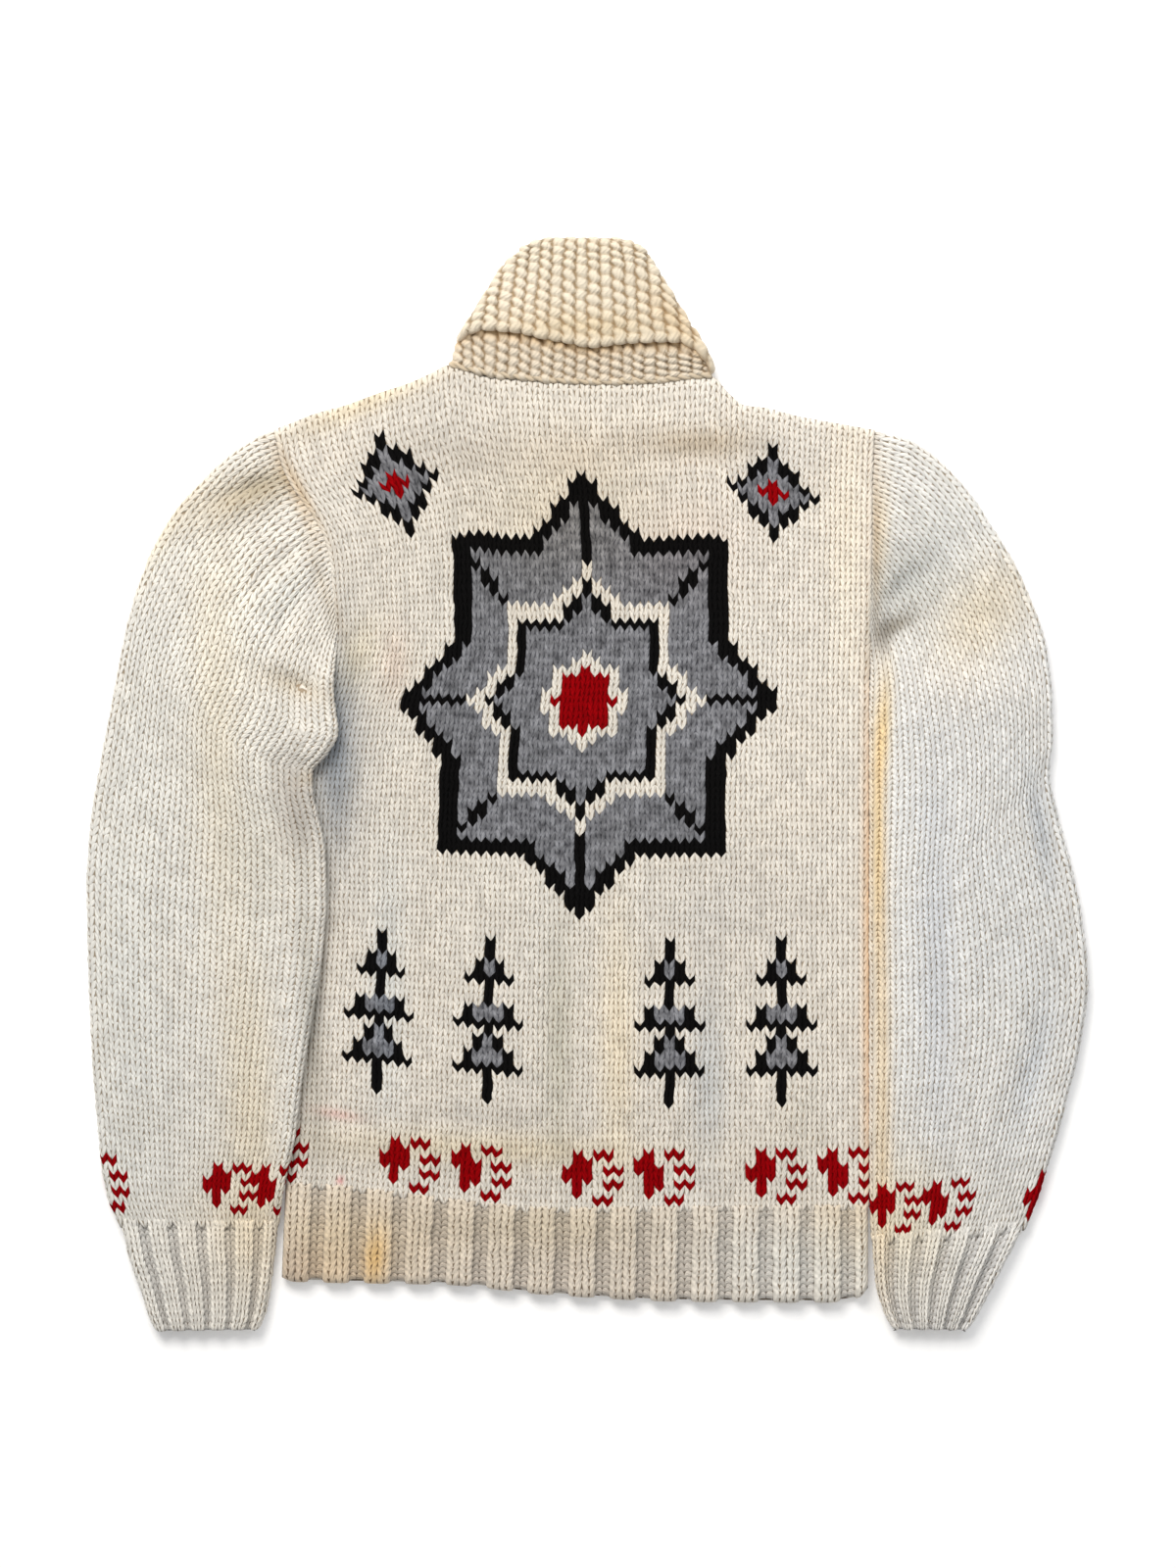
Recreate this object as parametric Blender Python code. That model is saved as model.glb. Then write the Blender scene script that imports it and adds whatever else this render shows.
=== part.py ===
# Cowichan sweater, a bulky hand-knitted pullover laid flat on its front, back up.
# Sizes are in millimetres until the points are made. X runs across the garment, +Y towards
# the collar and +Z up from the surface that it lies on. The origin is at the middle of the
# outline, on that surface.

import math
from collections import namedtuple

import bmesh
import bpy

MM = 0.001
NAME = "cowichan_sweater"

WALL = 4.6                # thickness of the knitted cloth
COLLAR_WALL = 4.2         # the collar is worked a little tighter
SEAM = 0.4                # clearance between pieces that touch
BODY_TOP = 2 * WALL + SEAM
ARMPIT_LEFT_Y = 104.0
ARMPIT_RIGHT_Y = 105.9
ARMHOLE_STEPS = 7         # rows of points that a sleeve and a panel share at an armhole
ARMPIT_LEVEL = 0.72       # share of a panel's rows that lies below the armholes
BODY_STEPS = 11
OVERLAP_HEIGHT = BODY_TOP + 0.7   # underside of the sleeve where it lies on the body
OVERLAP_SPAN = 18.0       # distance over which the sleeve climbs on to the body
SLEEVE_REACH = 24.0       # the back stays level this far in from its sides
SWELL_FADE = 40.0
REST_LIFT = 0.4
MOST_LIFT = 3.2
SLEEVE_RINGS = 23
PUFF = 3.4                # air between the two layers of a sleeve at its fullest
RIB_HEIGHT = 1.5
HEM_RIBS = 14.2
CUFF_RIBS = 6
COLLAR_RIDGES = 24
RIDGE_HEIGHT = 1.0

# Side edges of the body panels: y from the shoulder tip down to the hem.
Side = namedtuple("Side", "y x")
LEFT_SIDE = (
    Side(239.2, -210.9), Side(216.8, -206.2), Side(201.0, -199.0), Side(180.5, -184.5),
    Side(164.7, -176.6), Side(146.2, -172.6), Side(104.0, -168.0), Side(72.9, -166.7),
    Side(53.1, -169.3), Side(26.7, -174.6), Side(0.0, -181.2), Side(-33.0, -187.8),
    Side(-99.0, -193.7), Side(-165.0, -197.7), Side(-231.0, -200.3), Side(-271.6, -203.6),
    Side(-301.0, -205.9), Side(-350.0, -206.2),
)
RIGHT_SIDE = (
    Side(239.2, 193.1), Side(198.0, 191.4), Side(105.9, 190.7), Side(66.0, 189.4),
    Side(-66.0, 189.1), Side(-350.0, 189.1),
)

# Shoulder and neck edge of the panels, left to right; the neck lies between the corners.
Edge = namedtuple("Edge", "x y")
TOP_EDGE = (
    Edge(-210.9, 239.2), Edge(-197.7, 244.5), Edge(-182.5, 250.5), Edge(-165.3, 255.1),
    Edge(-139.6, 264.3), Edge(-119.8, 270.9), Edge(-105.0, 277.5), Edge(-92.7, 282.8),
    Edge(-80.9, 279.5), Edge(-65.0, 274.9), Edge(-44.6, 273.6), Edge(-18.0, 271.6),
    Edge(8.9, 270.9), Edge(29.4, 270.9), Edge(49.8, 272.2), Edge(69.6, 274.9),
    Edge(84.2, 274.9), Edge(94.7, 264.3), Edge(105.9, 255.8), Edge(121.8, 253.8),
    Edge(138.3, 249.2), Edge(166.0, 243.9), Edge(193.1, 239.2),
)
NECK_LEFT_X = -92.7
NECK_RIGHT_X = 84.2
RIB_LINE = (
    Edge(-203.6, -271.6), Edge(-181.2, -272.2), Edge(-124.4, -278.2), Edge(-78.9, -283.5),
    Edge(-26.1, -288.1), Edge(66.3, -287.4), Edge(132.3, -286.8), Edge(189.1, -286.1),
)
HEM_LINE = (
    Edge(-206.2, -331.0), Edge(-197.7, -334.0), Edge(-118.5, -335.6), Edge(-92.7, -336.3),
    Edge(-26.1, -342.9), Edge(66.3, -347.5), Edge(158.7, -348.2), Edge(181.8, -345.5),
    Edge(189.1, -338.0),
)

# Each sleeve row is one section across the sleeve, from the armhole down to the cuff.
Section = namedtuple("Section", "outer_x outer_y inner_x inner_y puff")
LEFT_SLEEVE = (
    Section(-211.4, 239.2, -168.5, 104.0, 0.0), Section(-222.8, 234.6, -169.3, 96.0, 0.1),
    Section(-242.6, 221.4, -169.6, 87.5, 0.4), Section(-261.7, 202.3, -170.0, 78.2, 0.7),
    Section(-278.2, 183.8, -170.6, 67.7, 0.9), Section(-293.4, 157.4, -169.3, 51.8, 1.0),
    Section(-303.9, 130.3, -167.3, 35.3, 1.0), Section(-311.2, 102.6, -175.2, 20.1, 1.0),
    Section(-317.1, 72.9, -184.5, 8.2, 1.0), Section(-324.4, 36.6, -183.8, -7.6, 1.0),
    Section(-331.0, 0.3, -179.2, -27.4, 1.0), Section(-335.6, -32.7, -175.9, -47.2, 1.0),
    Section(-337.6, -69.0, -175.2, -77.5, 1.0), Section(-336.9, -108.6, -177.9, -111.9, 1.0),
    Section(-335.6, -151.5, -183.8, -151.5, 0.9), Section(-333.0, -197.7, -191.7, -197.7, 0.8),
    Section(-329.7, -237.3, -196.4, -237.3, 0.6), Section(-325.7, -271.6, -203.6, -268.9, 0.4),
    Section(-316.5, -297.0, -208.2, -298.0, 0.2),
)
RIGHT_SLEEVE = (
    Section(193.7, 239.2, 191.3, 105.9, 0.0), Section(214.8, 233.3, 191.1, 96.0, 0.1),
    Section(236.0, 219.5, 190.7, 84.8, 0.4), Section(254.4, 200.3, 190.4, 71.6, 0.7),
    Section(270.9, 176.6, 190.1, 58.4, 0.9), Section(286.1, 151.5, 189.8, 44.6, 1.0),
    Section(298.7, 124.4, 189.8, 28.7, 1.0), Section(307.9, 96.0, 189.8, 11.6, 1.0),
    Section(312.5, 64.4, 189.8, -6.3, 1.0), Section(313.2, 33.3, 189.8, -26.1, 1.0),
    Section(311.2, 9.6, 189.8, -44.6, 1.0), Section(317.8, -23.4, 189.8, -69.0, 1.0),
    Section(326.4, -55.1, 189.8, -95.4, 1.0), Section(333.6, -90.8, 189.8, -121.8, 1.0),
    Section(337.6, -131.7, 189.8, -151.5, 1.0), Section(333.0, -171.3, 189.8, -184.5, 0.9),
    Section(323.7, -210.9, 189.8, -217.5, 0.7), Section(311.9, -253.8, 189.8, -257.1, 0.4),
    Section(296.7, -297.5, 191.2, -301.0, 0.2),
)
LEFT_CUFF = (
    Section(-316.2, -297.5, -208.3, -298.5, 0.2), Section(-309.2, -319.8, -210.9, -319.8, 0.2),
    Section(-303.3, -336.3, -212.9, -334.9, 0.2), Section(-296.7, -357.0, -216.8, -356.1, 0.2),
    Section(-292.0, -368.2, -221.0, -367.2, 0.1),
)
RIGHT_CUFF = (
    Section(296.4, -298.0, 191.5, -301.5, 0.2), Section(284.1, -318.4, 192.4, -319.1, 0.2),
    Section(276.2, -333.0, 193.7, -333.6, 0.2), Section(265.7, -352.8, 197.7, -350.8, 0.2),
    Section(257.0, -367.4, 205.0, -367.0, 0.1),
)

# Soft folds: middle, half length, half width, turn of the length in degrees, and size.
Fold = namedtuple("Fold", "x y along across turn size")
BACK_SWELLS = (
    Fold(-105.0, 60.0, 110.0, 22.0, 86.0, 2.2), Fold(-20.0, 120.0, 90.0, 40.0, 80.0, 1.4),
    Fold(90.0, 30.0, 120.0, 30.0, 94.0, 1.8), Fold(-60.0, -150.0, 90.0, 30.0, 100.0, 1.6),
    Fold(60.0, -170.0, 80.0, 34.0, 84.0, 1.7), Fold(20.0, 225.0, 28.0, 70.0, 90.0, 1.2),
)
# Creases of the sleeves, as the share of the air that each takes out.
SLEEVE_CREASES = (
    Fold(-183.0, 172.0, 20.0, 8.0, 20.0, 1.0), Fold(-206.0, 143.0, 40.0, 7.0, 52.0, 0.7),
    Fold(-199.0, 112.0, 44.0, 8.0, 62.0, 0.6), Fold(-186.0, 12.0, 18.0, 12.0, 8.0, 0.9),
    Fold(203.0, 101.0, 24.0, 9.0, 22.0, 1.0), Fold(215.0, 136.0, 46.0, 14.0, 62.0, 0.8),
    Fold(309.0, -20.0, 50.0, 8.0, 96.0, 0.9), Fold(226.0, -191.0, 85.0, 10.0, 86.0, 0.6),
    Fold(277.0, -191.0, 85.0, 12.0, 79.0, 0.6), Fold(-262.0, -60.0, 90.0, 20.0, 84.0, 0.4),
)

# Collar: side points of its fold, of the slopes below the fold and of the stand where the
# flap ends, and the flap's lower edge from left to right.
FOLD_LEFT = Edge(-40.0, 368.2)
FOLD_RIGHT = Edge(38.0, 367.7)
SLOPE_LEFT = Edge(-60.0, 347.0)
SLOPE_RIGHT = Edge(51.0, 344.0)
STAND_LEFT = Edge(-86.5, 305.0)
STAND_RIGHT = Edge(81.0, 289.0)
FLAP_EDGE = (
    Edge(-88.5, 301.0), Edge(-84.0, 305.0), Edge(-72.3, 308.6), Edge(-47.2, 306.6),
    Edge(-28.7, 302.6), Edge(-10.9, 299.3), Edge(2.3, 297.0), Edge(22.8, 299.3),
    Edge(42.9, 300.6), Edge(63.0, 300.6), Edge(73.6, 296.3), Edge(83.3, 286.8),
    Edge(86.0, 279.5),
)

CREAM = (0.80, 0.74, 0.63)
WARM_CREAM = (0.82, 0.74, 0.58)
RIB_CREAM = (0.74, 0.67, 0.55)


def lerp(start, end, share):
    return start + (end - start) * share


def ease(share):
    clamped = min(max(share, 0.0), 1.0)
    return clamped * clamped * (3 - 2 * clamped)


def through(knots, values, at):
    # A smooth curve through the values that never swings past them.
    last = len(knots) - 1
    spans = [knots[i + 1] - knots[i] for i in range(last)]
    grades = [(values[i + 1] - values[i]) / spans[i] for i in range(last)]
    slopes = [grades[0]]
    for before, after in zip(grades, grades[1:]):
        slopes.append(2 * before * after / (before + after) if before * after > 0 else 0.0)
    slopes.append(grades[-1])
    i = 0
    while i < last - 1 and at > knots[i + 1]:
        i += 1
    s = min(max((at - knots[i]) / spans[i], 0.0), 1.0)
    start = values[i] * (1 + 2 * s) * (1 - s) ** 2 + slopes[i] * spans[i] * s * (1 - s) ** 2
    end = values[i + 1] * s * s * (3 - 2 * s) + slopes[i + 1] * spans[i] * s * s * (s - 1)
    return start + end


def straight(edges, x):
    # The polyline's y at x.
    for before, after in zip(edges, edges[1:]):
        if x <= after.x:
            return lerp(before.y, after.y, max(x - before.x, 0.0) / (after.x - before.x))
    return edges[-1].y


def side_x(side, y):
    rows = side[::-1]
    return through([row.y for row in rows], [row.x for row in rows], y)


def round_edge(distance, radius):
    # Share of the full half-thickness at a distance inside a rounded edge.
    inside = min(max(distance / radius, 0.0), 1.0)
    return math.sqrt(1 - (1 - inside) ** 2)


def fold_size(fold, x, y):
    turn = math.radians(fold.turn)
    along = (x - fold.x) * math.cos(turn) + (y - fold.y) * math.sin(turn)
    across = (y - fold.y) * math.cos(turn) - (x - fold.x) * math.sin(turn)
    return fold.size * math.exp(-(along / fold.along) ** 2 - (across / fold.across) ** 2)


def make_object(name, colour, mesh_builder):
    mesh = bpy.data.meshes.new(name)
    shape = bmesh.new()
    mesh_builder(shape)
    bmesh.ops.recalc_face_normals(shape, faces=shape.faces)
    shape.to_mesh(mesh)
    shape.free()
    mesh.shade_smooth()
    mesh.set_sharp_from_angle(angle=math.radians(50))
    piece = bpy.data.objects.new(name, mesh)
    bpy.data.collections[NAME].objects.link(piece)
    piece.data.materials.append(wool(name, colour))
    return piece


def wool(name, colour):
    material = bpy.data.materials.new(name + "_wool")
    material.use_nodes = True
    shader = material.node_tree.nodes["Principled BSDF"]
    shader.inputs["Base Color"].default_value = (*colour, 1.0)
    shader.inputs["Roughness"].default_value = 0.9
    shader.inputs["Metallic"].default_value = 0.0
    return material


def points(shape, rows):
    return [[shape.verts.new([value * MM for value in point]) for point in row] for row in rows]


def skin(shape, rows, closed):
    # Quads between neighbouring rows of points; closed rows meet themselves.
    for row, following in zip(rows, rows[1:]):
        count = len(row)
        for i in range(count if closed else count - 1):
            j = (i + 1) % count
            shape.faces.new((row[i], row[j], following[j], following[i]))


def slab(shape, upper, lower):
    # A closed wall between two grids of points of the same layout.
    top = points(shape, upper)
    base = points(shape, lower)
    skin(shape, top, False)
    skin(shape, base, False)
    skin(shape, [top[0], base[0]], False)
    skin(shape, [top[-1], base[-1]], False)
    skin(shape, [[row[0] for row in top], [row[0] for row in base]], False)
    skin(shape, [[row[-1] for row in top], [row[-1] for row in base]], False)


# Body panels

def panel_rows():
    body = [ARMPIT_LEVEL * i / BODY_STEPS for i in range(BODY_STEPS)]
    armhole = [lerp(ARMPIT_LEVEL, 1.0, i / ARMHOLE_STEPS) for i in range(ARMHOLE_STEPS)]
    return body + armhole + [0.972, 0.991, 1.0]


def panel_columns():
    width = TOP_EDGE[-1].x - TOP_EDGE[0].x
    columns = [(edge.x - TOP_EDGE[0].x) / width for edge in TOP_EDGE]
    return columns[:1] + [0.0045] + columns[1:-1] + [0.9955] + columns[-1:]


def panel_xy(across, up):
    # A point of the panel: across from its left side, up from the hem rib to the top edge.
    rib_y = straight(RIB_LINE, lerp(RIB_LINE[0].x, RIB_LINE[-1].x, across))
    top_y = straight(TOP_EDGE, lerp(TOP_EDGE[0].x, TOP_EDGE[-1].x, across))
    if up < ARMPIT_LEVEL:
        share = up / ARMPIT_LEVEL
        left_y = lerp(RIB_LINE[0].y, ARMPIT_LEFT_Y, share)
        right_y = lerp(RIB_LINE[-1].y, ARMPIT_RIGHT_Y, share)
        y = lerp(rib_y, lerp(ARMPIT_LEFT_Y, ARMPIT_RIGHT_Y, across), share)
    else:
        share = (up - ARMPIT_LEVEL) / (1 - ARMPIT_LEVEL)
        left_y = lerp(ARMPIT_LEFT_Y, TOP_EDGE[0].y, share)
        right_y = lerp(ARMPIT_RIGHT_Y, TOP_EDGE[-1].y, share)
        y = lerp(lerp(ARMPIT_LEFT_Y, ARMPIT_RIGHT_Y, across), top_y, share)
    return lerp(side_x(LEFT_SIDE, left_y), side_x(RIGHT_SIDE, right_y), across), y


def panel_fullness(across, up):
    # 1 inside the panel, falling to a third at its sides and its top edge.
    width = TOP_EDGE[-1].x - TOP_EDGE[0].x
    side = min(across, 1 - across) * width
    top = (1 - up) * (TOP_EDGE[0].y - ARMPIT_LEFT_Y) / (1 - ARMPIT_LEVEL)
    return lerp(0.34, 1.0, round_edge(min(side, top), WALL))


def back_lift(x, y, across, up):
    # Height of the back panel's underside above the front panel.
    width = TOP_EDGE[-1].x - TOP_EDGE[0].x
    length = TOP_EDGE[0].y - RIB_LINE[0].y
    from_side = min(across, 1 - across) * width
    from_end = min(up, 1 - up) * length
    fade = ease((from_side - SLEEVE_REACH) / SWELL_FADE) * ease(from_end / SWELL_FADE)
    swell = REST_LIFT + sum(fold_size(fold, x, y) for fold in BACK_SWELLS)
    return fade * min(swell, MOST_LIFT)


def front_wall(shape):
    upper = []
    lower = []
    for up in panel_rows():
        upper.append([])
        lower.append([])
        for across in panel_columns()[::2] + [1.0]:
            x, y = panel_xy(across, up)
            upper[-1].append((x, y, WALL))
            lower[-1].append((x, y, WALL * (1 - panel_fullness(across, up))))
    slab(shape, upper, lower)


def back_wall(shape):
    upper = []
    lower = []
    for up in panel_rows():
        upper.append([])
        lower.append([])
        for across in panel_columns():
            x, y = panel_xy(across, up)
            base = WALL + SEAM + back_lift(x, y, across, up)
            upper[-1].append((x, y, base + WALL * panel_fullness(across, up)))
            lower[-1].append((x, y, base))
    slab(shape, upper, lower)


# Ribbed hem

def rib_stations(ribs):
    # Each rib is a flat ridge with sloping flanks and a narrower valley beside it.
    stations = []
    for i in range(math.ceil(ribs)):
        for offset, height in ((0.02, 0.0), (0.2, 1.0), (0.68, 1.0), (0.86, 0.0)):
            if (i + offset) / ribs < 0.985:
                stations.append(((i + offset) / ribs, height))
    return [(0.0, 0.0)] + stations + [(1.0, 0.0)]


def hem_wall(shape, ribs, base, face_up):
    # The ribbed strip below a panel; the back's faces up and the front's lies flat.
    upper = []
    lower = []
    levels = ((0.0, 1.0), (0.5, 1.0), (0.93, 0.9), (0.985, 0.66), (1.0, 0.34))
    for down, fullness in levels:
        upper.append([])
        lower.append([])
        for across, ridge in ribs:
            x = lerp(RIB_LINE[0].x, RIB_LINE[-1].x, across)
            start_y = straight(RIB_LINE, x) - SEAM
            left_x = lerp(RIB_LINE[0].x, HEM_LINE[0].x, down)
            right_x = lerp(RIB_LINE[-1].x, HEM_LINE[-1].x, down)
            x = lerp(left_x, right_x, across)
            end_y = straight(HEM_LINE, x)
            side = min(across, 1 - across) * (right_x - left_x)
            thickness = WALL * min(fullness, lerp(0.34, 1.0, round_edge(side, WALL)))
            height = RIB_HEIGHT * ridge * min(1.0, down * 8) * fullness
            if face_up:
                upper[-1].append((x, lerp(start_y, end_y, down), base + thickness + height))
                lower[-1].append((x, lerp(start_y, end_y, down), base))
            else:
                upper[-1].append((x, lerp(start_y, end_y, down), base + WALL))
                lower[-1].append((x, lerp(start_y, end_y, down), base + WALL - thickness))
    slab(shape, upper, lower)


# Sleeves and cuffs

def support(x, y):
    # Height of what the left sleeve lies on: the surface, or the body where it overlaps it.
    climb = ease((x - side_x(LEFT_SIDE, y) + OVERLAP_SPAN) / OVERLAP_SPAN)
    below_armpit = ease((ARMPIT_LEFT_Y - 2.0 - y) / 40.0)
    above_cuff = ease((y + 312.0) / 44.0)
    return OVERLAP_HEIGHT * climb * below_armpit * above_cuff


def section_at(sections, position):
    knots = list(range(len(sections)))
    return Section(*[through(knots, column, position) for column in zip(*sections)])


def air(puff, x, y):
    # Half of the space between the two layers of a sleeve.
    left = 1.0
    for crease in SLEEVE_CREASES:
        left *= 1 - fold_size(crease, x, y)
    return SEAM / 2 + PUFF / 2 * puff * left


def armhole_bend(side, armpit_y):
    # How far the armhole edge swings off the straight line between its two ends.
    steps = [i / ARMHOLE_STEPS for i in range(ARMHOLE_STEPS + 1)]
    edge = [side_x(side, lerp(LEFT_SIDE[0].y, armpit_y, step)) for step in steps]
    chord = [lerp(edge[0], edge[-1], step) for step in steps]
    return [Edge(step, x - line) for step, x, line in zip(steps, edge, chord)]


def sleeve_shares(width):
    near = 1.2 / width
    inner = [i / (2 * ARMHOLE_STEPS) for i in range(1, 2 * ARMHOLE_STEPS)]
    return [near, 4.5 / width] + inner + [1 - 4.5 / width, 1 - near]


def cuff_shares(width):
    inner = [(share, ridge) for share, ridge in rib_stations(CUFF_RIBS) if 0.06 < share < 0.94]
    near = [(1.2 / width, 0.0), (4.5 / width, 0.0)]
    return near + inner + [(1 - share, ridge) for share, ridge in near[::-1]]


def tube_ring(section, shares, inset, bend, rise):
    # One closed loop round a flattened tube, inset from its outer face.
    width = math.hypot(section.inner_x - section.outer_x, section.inner_y - section.outer_y)
    top = []
    base = []
    ends = []
    start = inset / width
    for share, ridge in [(0.0, 0.0)] + shares + [(1.0, 0.0)]:
        place = lerp(start, 1 - start, share)
        x = lerp(section.outer_x, section.inner_x, place) + straight(bend, place)
        y = lerp(section.outer_y, section.inner_y, place)
        half = WALL + air(section.puff, x, y)
        distance = min(share, 1 - share) * (width - 2 * inset)
        full = round_edge(distance, half) * (half - inset)
        middle = rise(x, y) + half
        outer_ridge = ridge * RIB_HEIGHT if inset == 0 else 0.0
        if share in (0.0, 1.0):
            ends.append((x, y, middle))
        else:
            top.append((x, y, middle + full + outer_ridge))
            base.append((x, y, middle - full))
    return [ends[0]] + top + [ends[1]] + base[::-1]


def tube(shape, outer_rows, inner_rows):
    outer = points(shape, outer_rows)
    inner = points(shape, inner_rows)
    skin(shape, outer, True)
    skin(shape, inner, True)
    skin(shape, [outer[0], inner[0]], True)
    skin(shape, [outer[-1], inner[-1]], True)


def sleeve_wall(shape, sections, side, armpit_y, rise):
    outer = []
    inner = []
    bend = armhole_bend(side, armpit_y)
    for i in range(SLEEVE_RINGS):
        position = i * (len(sections) - 1) / (SLEEVE_RINGS - 1)
        section = section_at(sections, position)
        width = math.hypot(section.inner_x - section.outer_x, section.inner_y - section.outer_y)
        fade = max(1 - position / 6, 0.0) ** 2
        faded = [Edge(row.x, row.y * fade) for row in bend]
        shares = [(share, 0.0) for share in sleeve_shares(width)]
        outer.append(tube_ring(section, shares, 0.0, faded, rise))
        inner.append(tube_ring(section, shares, WALL, faded, rise))
    tube(shape, outer, inner)


def cuff_wall(shape, sections, rise):
    outer = []
    inner = []
    no_bend = [Edge(0.0, 0.0), Edge(1.0, 0.0)]
    for section in sections:
        width = math.hypot(section.inner_x - section.outer_x, section.inner_y - section.outer_y)
        shares = cuff_shares(width)
        outer.append(tube_ring(section, shares, 0.0, no_bend, rise))
        inner.append(tube_ring(section, shares, WALL, no_bend, rise))
    tube(shape, outer, inner)


def on_surface(x, y):
    return 0.0


# Collar: a stand that folds over at the top into a flap, all round the neck.

def collar_shares():
    ridges = [((i + 0.5) / (2 * COLLAR_RIDGES), i % 2) for i in range(2 * COLLAR_RIDGES)]
    top = [(share, ridge) for share, ridge in ridges if 0.04 < share < 0.96]
    near = [(0.008, 0.0), (0.026, 0.0)]
    top = near + top + [(1 - share, 0.0) for share, _ in near[::-1]]
    base = [(i / 8, 0.0) for i in range(1, 8)]
    return top, near + base + [(1 - share, 0.0) for share, _ in near[::-1]]


def collar_ring(left, right, line, inset, half, middle, ridge_height):
    # One flattened loop round the neck between two side points.
    top, base = collar_shares()
    width = right.x - left.x - 2 * inset

    def place(share):
        x = lerp(left.x + inset, right.x - inset, share)
        return x, lerp(left.y, right.y, share) + line(share)

    upper = []
    for share, ridge in top:
        full = round_edge(min(share, 1 - share) * width, half) * half
        upper.append((*place(share), middle + full + ridge * ridge_height))
    lower = []
    for share, _ in base:
        full = round_edge(min(share, 1 - share) * width, half) * half
        lower.append((*place(share), middle - full))
    return [(*place(0.0), middle)] + upper + [(*place(1.0), middle)] + lower[::-1]


def off_chord(edges, left, right):
    def line(share):
        x = lerp(left.x, right.x, share)
        return straight(edges, x) - lerp(left.y, right.y, share)
    return line


def level(line, share):
    # Lines flatten out towards the straight fold.
    return lambda across: line(across) * (1 - share)


def collar_wall(shape):
    gap = 0.5
    half = 2 * COLLAR_WALL + gap + 0.4           # flap's half height
    stand_half = COLLAR_WALL + 0.4
    seam_half = BODY_TOP / 2
    neck = [row for row in TOP_EDGE if NECK_LEFT_X <= row.x <= NECK_RIGHT_X]
    neck_left = Edge(NECK_LEFT_X, neck[0].y + SEAM)
    neck_right = Edge(NECK_RIGHT_X, neck[-1].y + SEAM)
    neck_line = off_chord([Edge(row.x, row.y + SEAM) for row in neck], neck_left, neck_right)
    flap_left = FLAP_EDGE[0]
    flap_right = FLAP_EDGE[-1]
    flap_line = off_chord(FLAP_EDGE, flap_left, flap_right)
    flat = level(flap_line, 1.0)
    shelf_line = level(neck_line, 0.4)
    shelf = (STAND_LEFT, STAND_RIGHT, shelf_line)
    slope = (SLOPE_LEFT, SLOPE_RIGHT, level(flap_line, 0.7))
    crown_drop = COLLAR_WALL + gap / 2

    def fold(drop, spread):
        left = Edge(FOLD_LEFT.x - spread, FOLD_LEFT.y - drop)
        right = Edge(FOLD_RIGHT.x + spread, FOLD_RIGHT.y - drop)
        return left, right, flat

    rings = [
        collar_ring(neck_left, neck_right, neck_line, COLLAR_WALL, seam_half - COLLAR_WALL,
                    seam_half, 0.0),
        collar_ring(*shelf, COLLAR_WALL, stand_half - COLLAR_WALL, half, 0.0),
        collar_ring(*slope, 2 * COLLAR_WALL + gap, stand_half - COLLAR_WALL, half, 0.0),
        collar_ring(*fold(crown_drop, 5.0), 2 * COLLAR_WALL + gap, stand_half - COLLAR_WALL,
                    half, 0.0),
        collar_ring(*fold(1.4, 1.5), 1.5 * COLLAR_WALL + gap, stand_half - 1.5, half, 0.0),
        collar_ring(*fold(0.0, 0.0), COLLAR_WALL, 0.5 * (half + stand_half), half, 0.0),
        collar_ring(*fold(1.4, 1.5), 0.3 * COLLAR_WALL, half - 1.2, half, 0.3 * RIDGE_HEIGHT),
        collar_ring(*fold(crown_drop + 1, 6.0), 0.0, half, half, RIDGE_HEIGHT),
        collar_ring(*slope, 0.0, half, half, RIDGE_HEIGHT),
        collar_ring(flap_left, flap_right, flap_line, 0.0, half, half, RIDGE_HEIGHT),
        collar_ring(Edge(flap_left.x, flap_left.y - 1.6), Edge(flap_right.x, flap_right.y - 1.6),
                    flap_line, 1.2, half - 1.2, half, 0.0),
        collar_ring(Edge(flap_left.x, flap_left.y - 1.2), Edge(flap_right.x, flap_right.y - 1.2),
                    flap_line, COLLAR_WALL - 0.4, half - COLLAR_WALL + 0.4, half, 0.0),
        collar_ring(flap_left, flap_right, flap_line, COLLAR_WALL, half - COLLAR_WALL, half, 0.0),
        collar_ring(*slope, COLLAR_WALL, half - COLLAR_WALL, half, 0.0),
        collar_ring(*fold(crown_drop + 1, 6.0), COLLAR_WALL, half - COLLAR_WALL, half, 0.0),
        collar_ring(*fold(crown_drop + 1, 6.0), COLLAR_WALL + gap, stand_half, half, 0.0),
        collar_ring(*slope, COLLAR_WALL + gap, stand_half, half, 0.0),
        collar_ring(*shelf, 0.0, stand_half, half, 0.0),
        collar_ring(neck_left, neck_right, neck_line, 0.0, seam_half, seam_half, 0.0),
    ]
    made = points(shape, rings)
    skin(shape, made + [made[0]], True)


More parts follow.
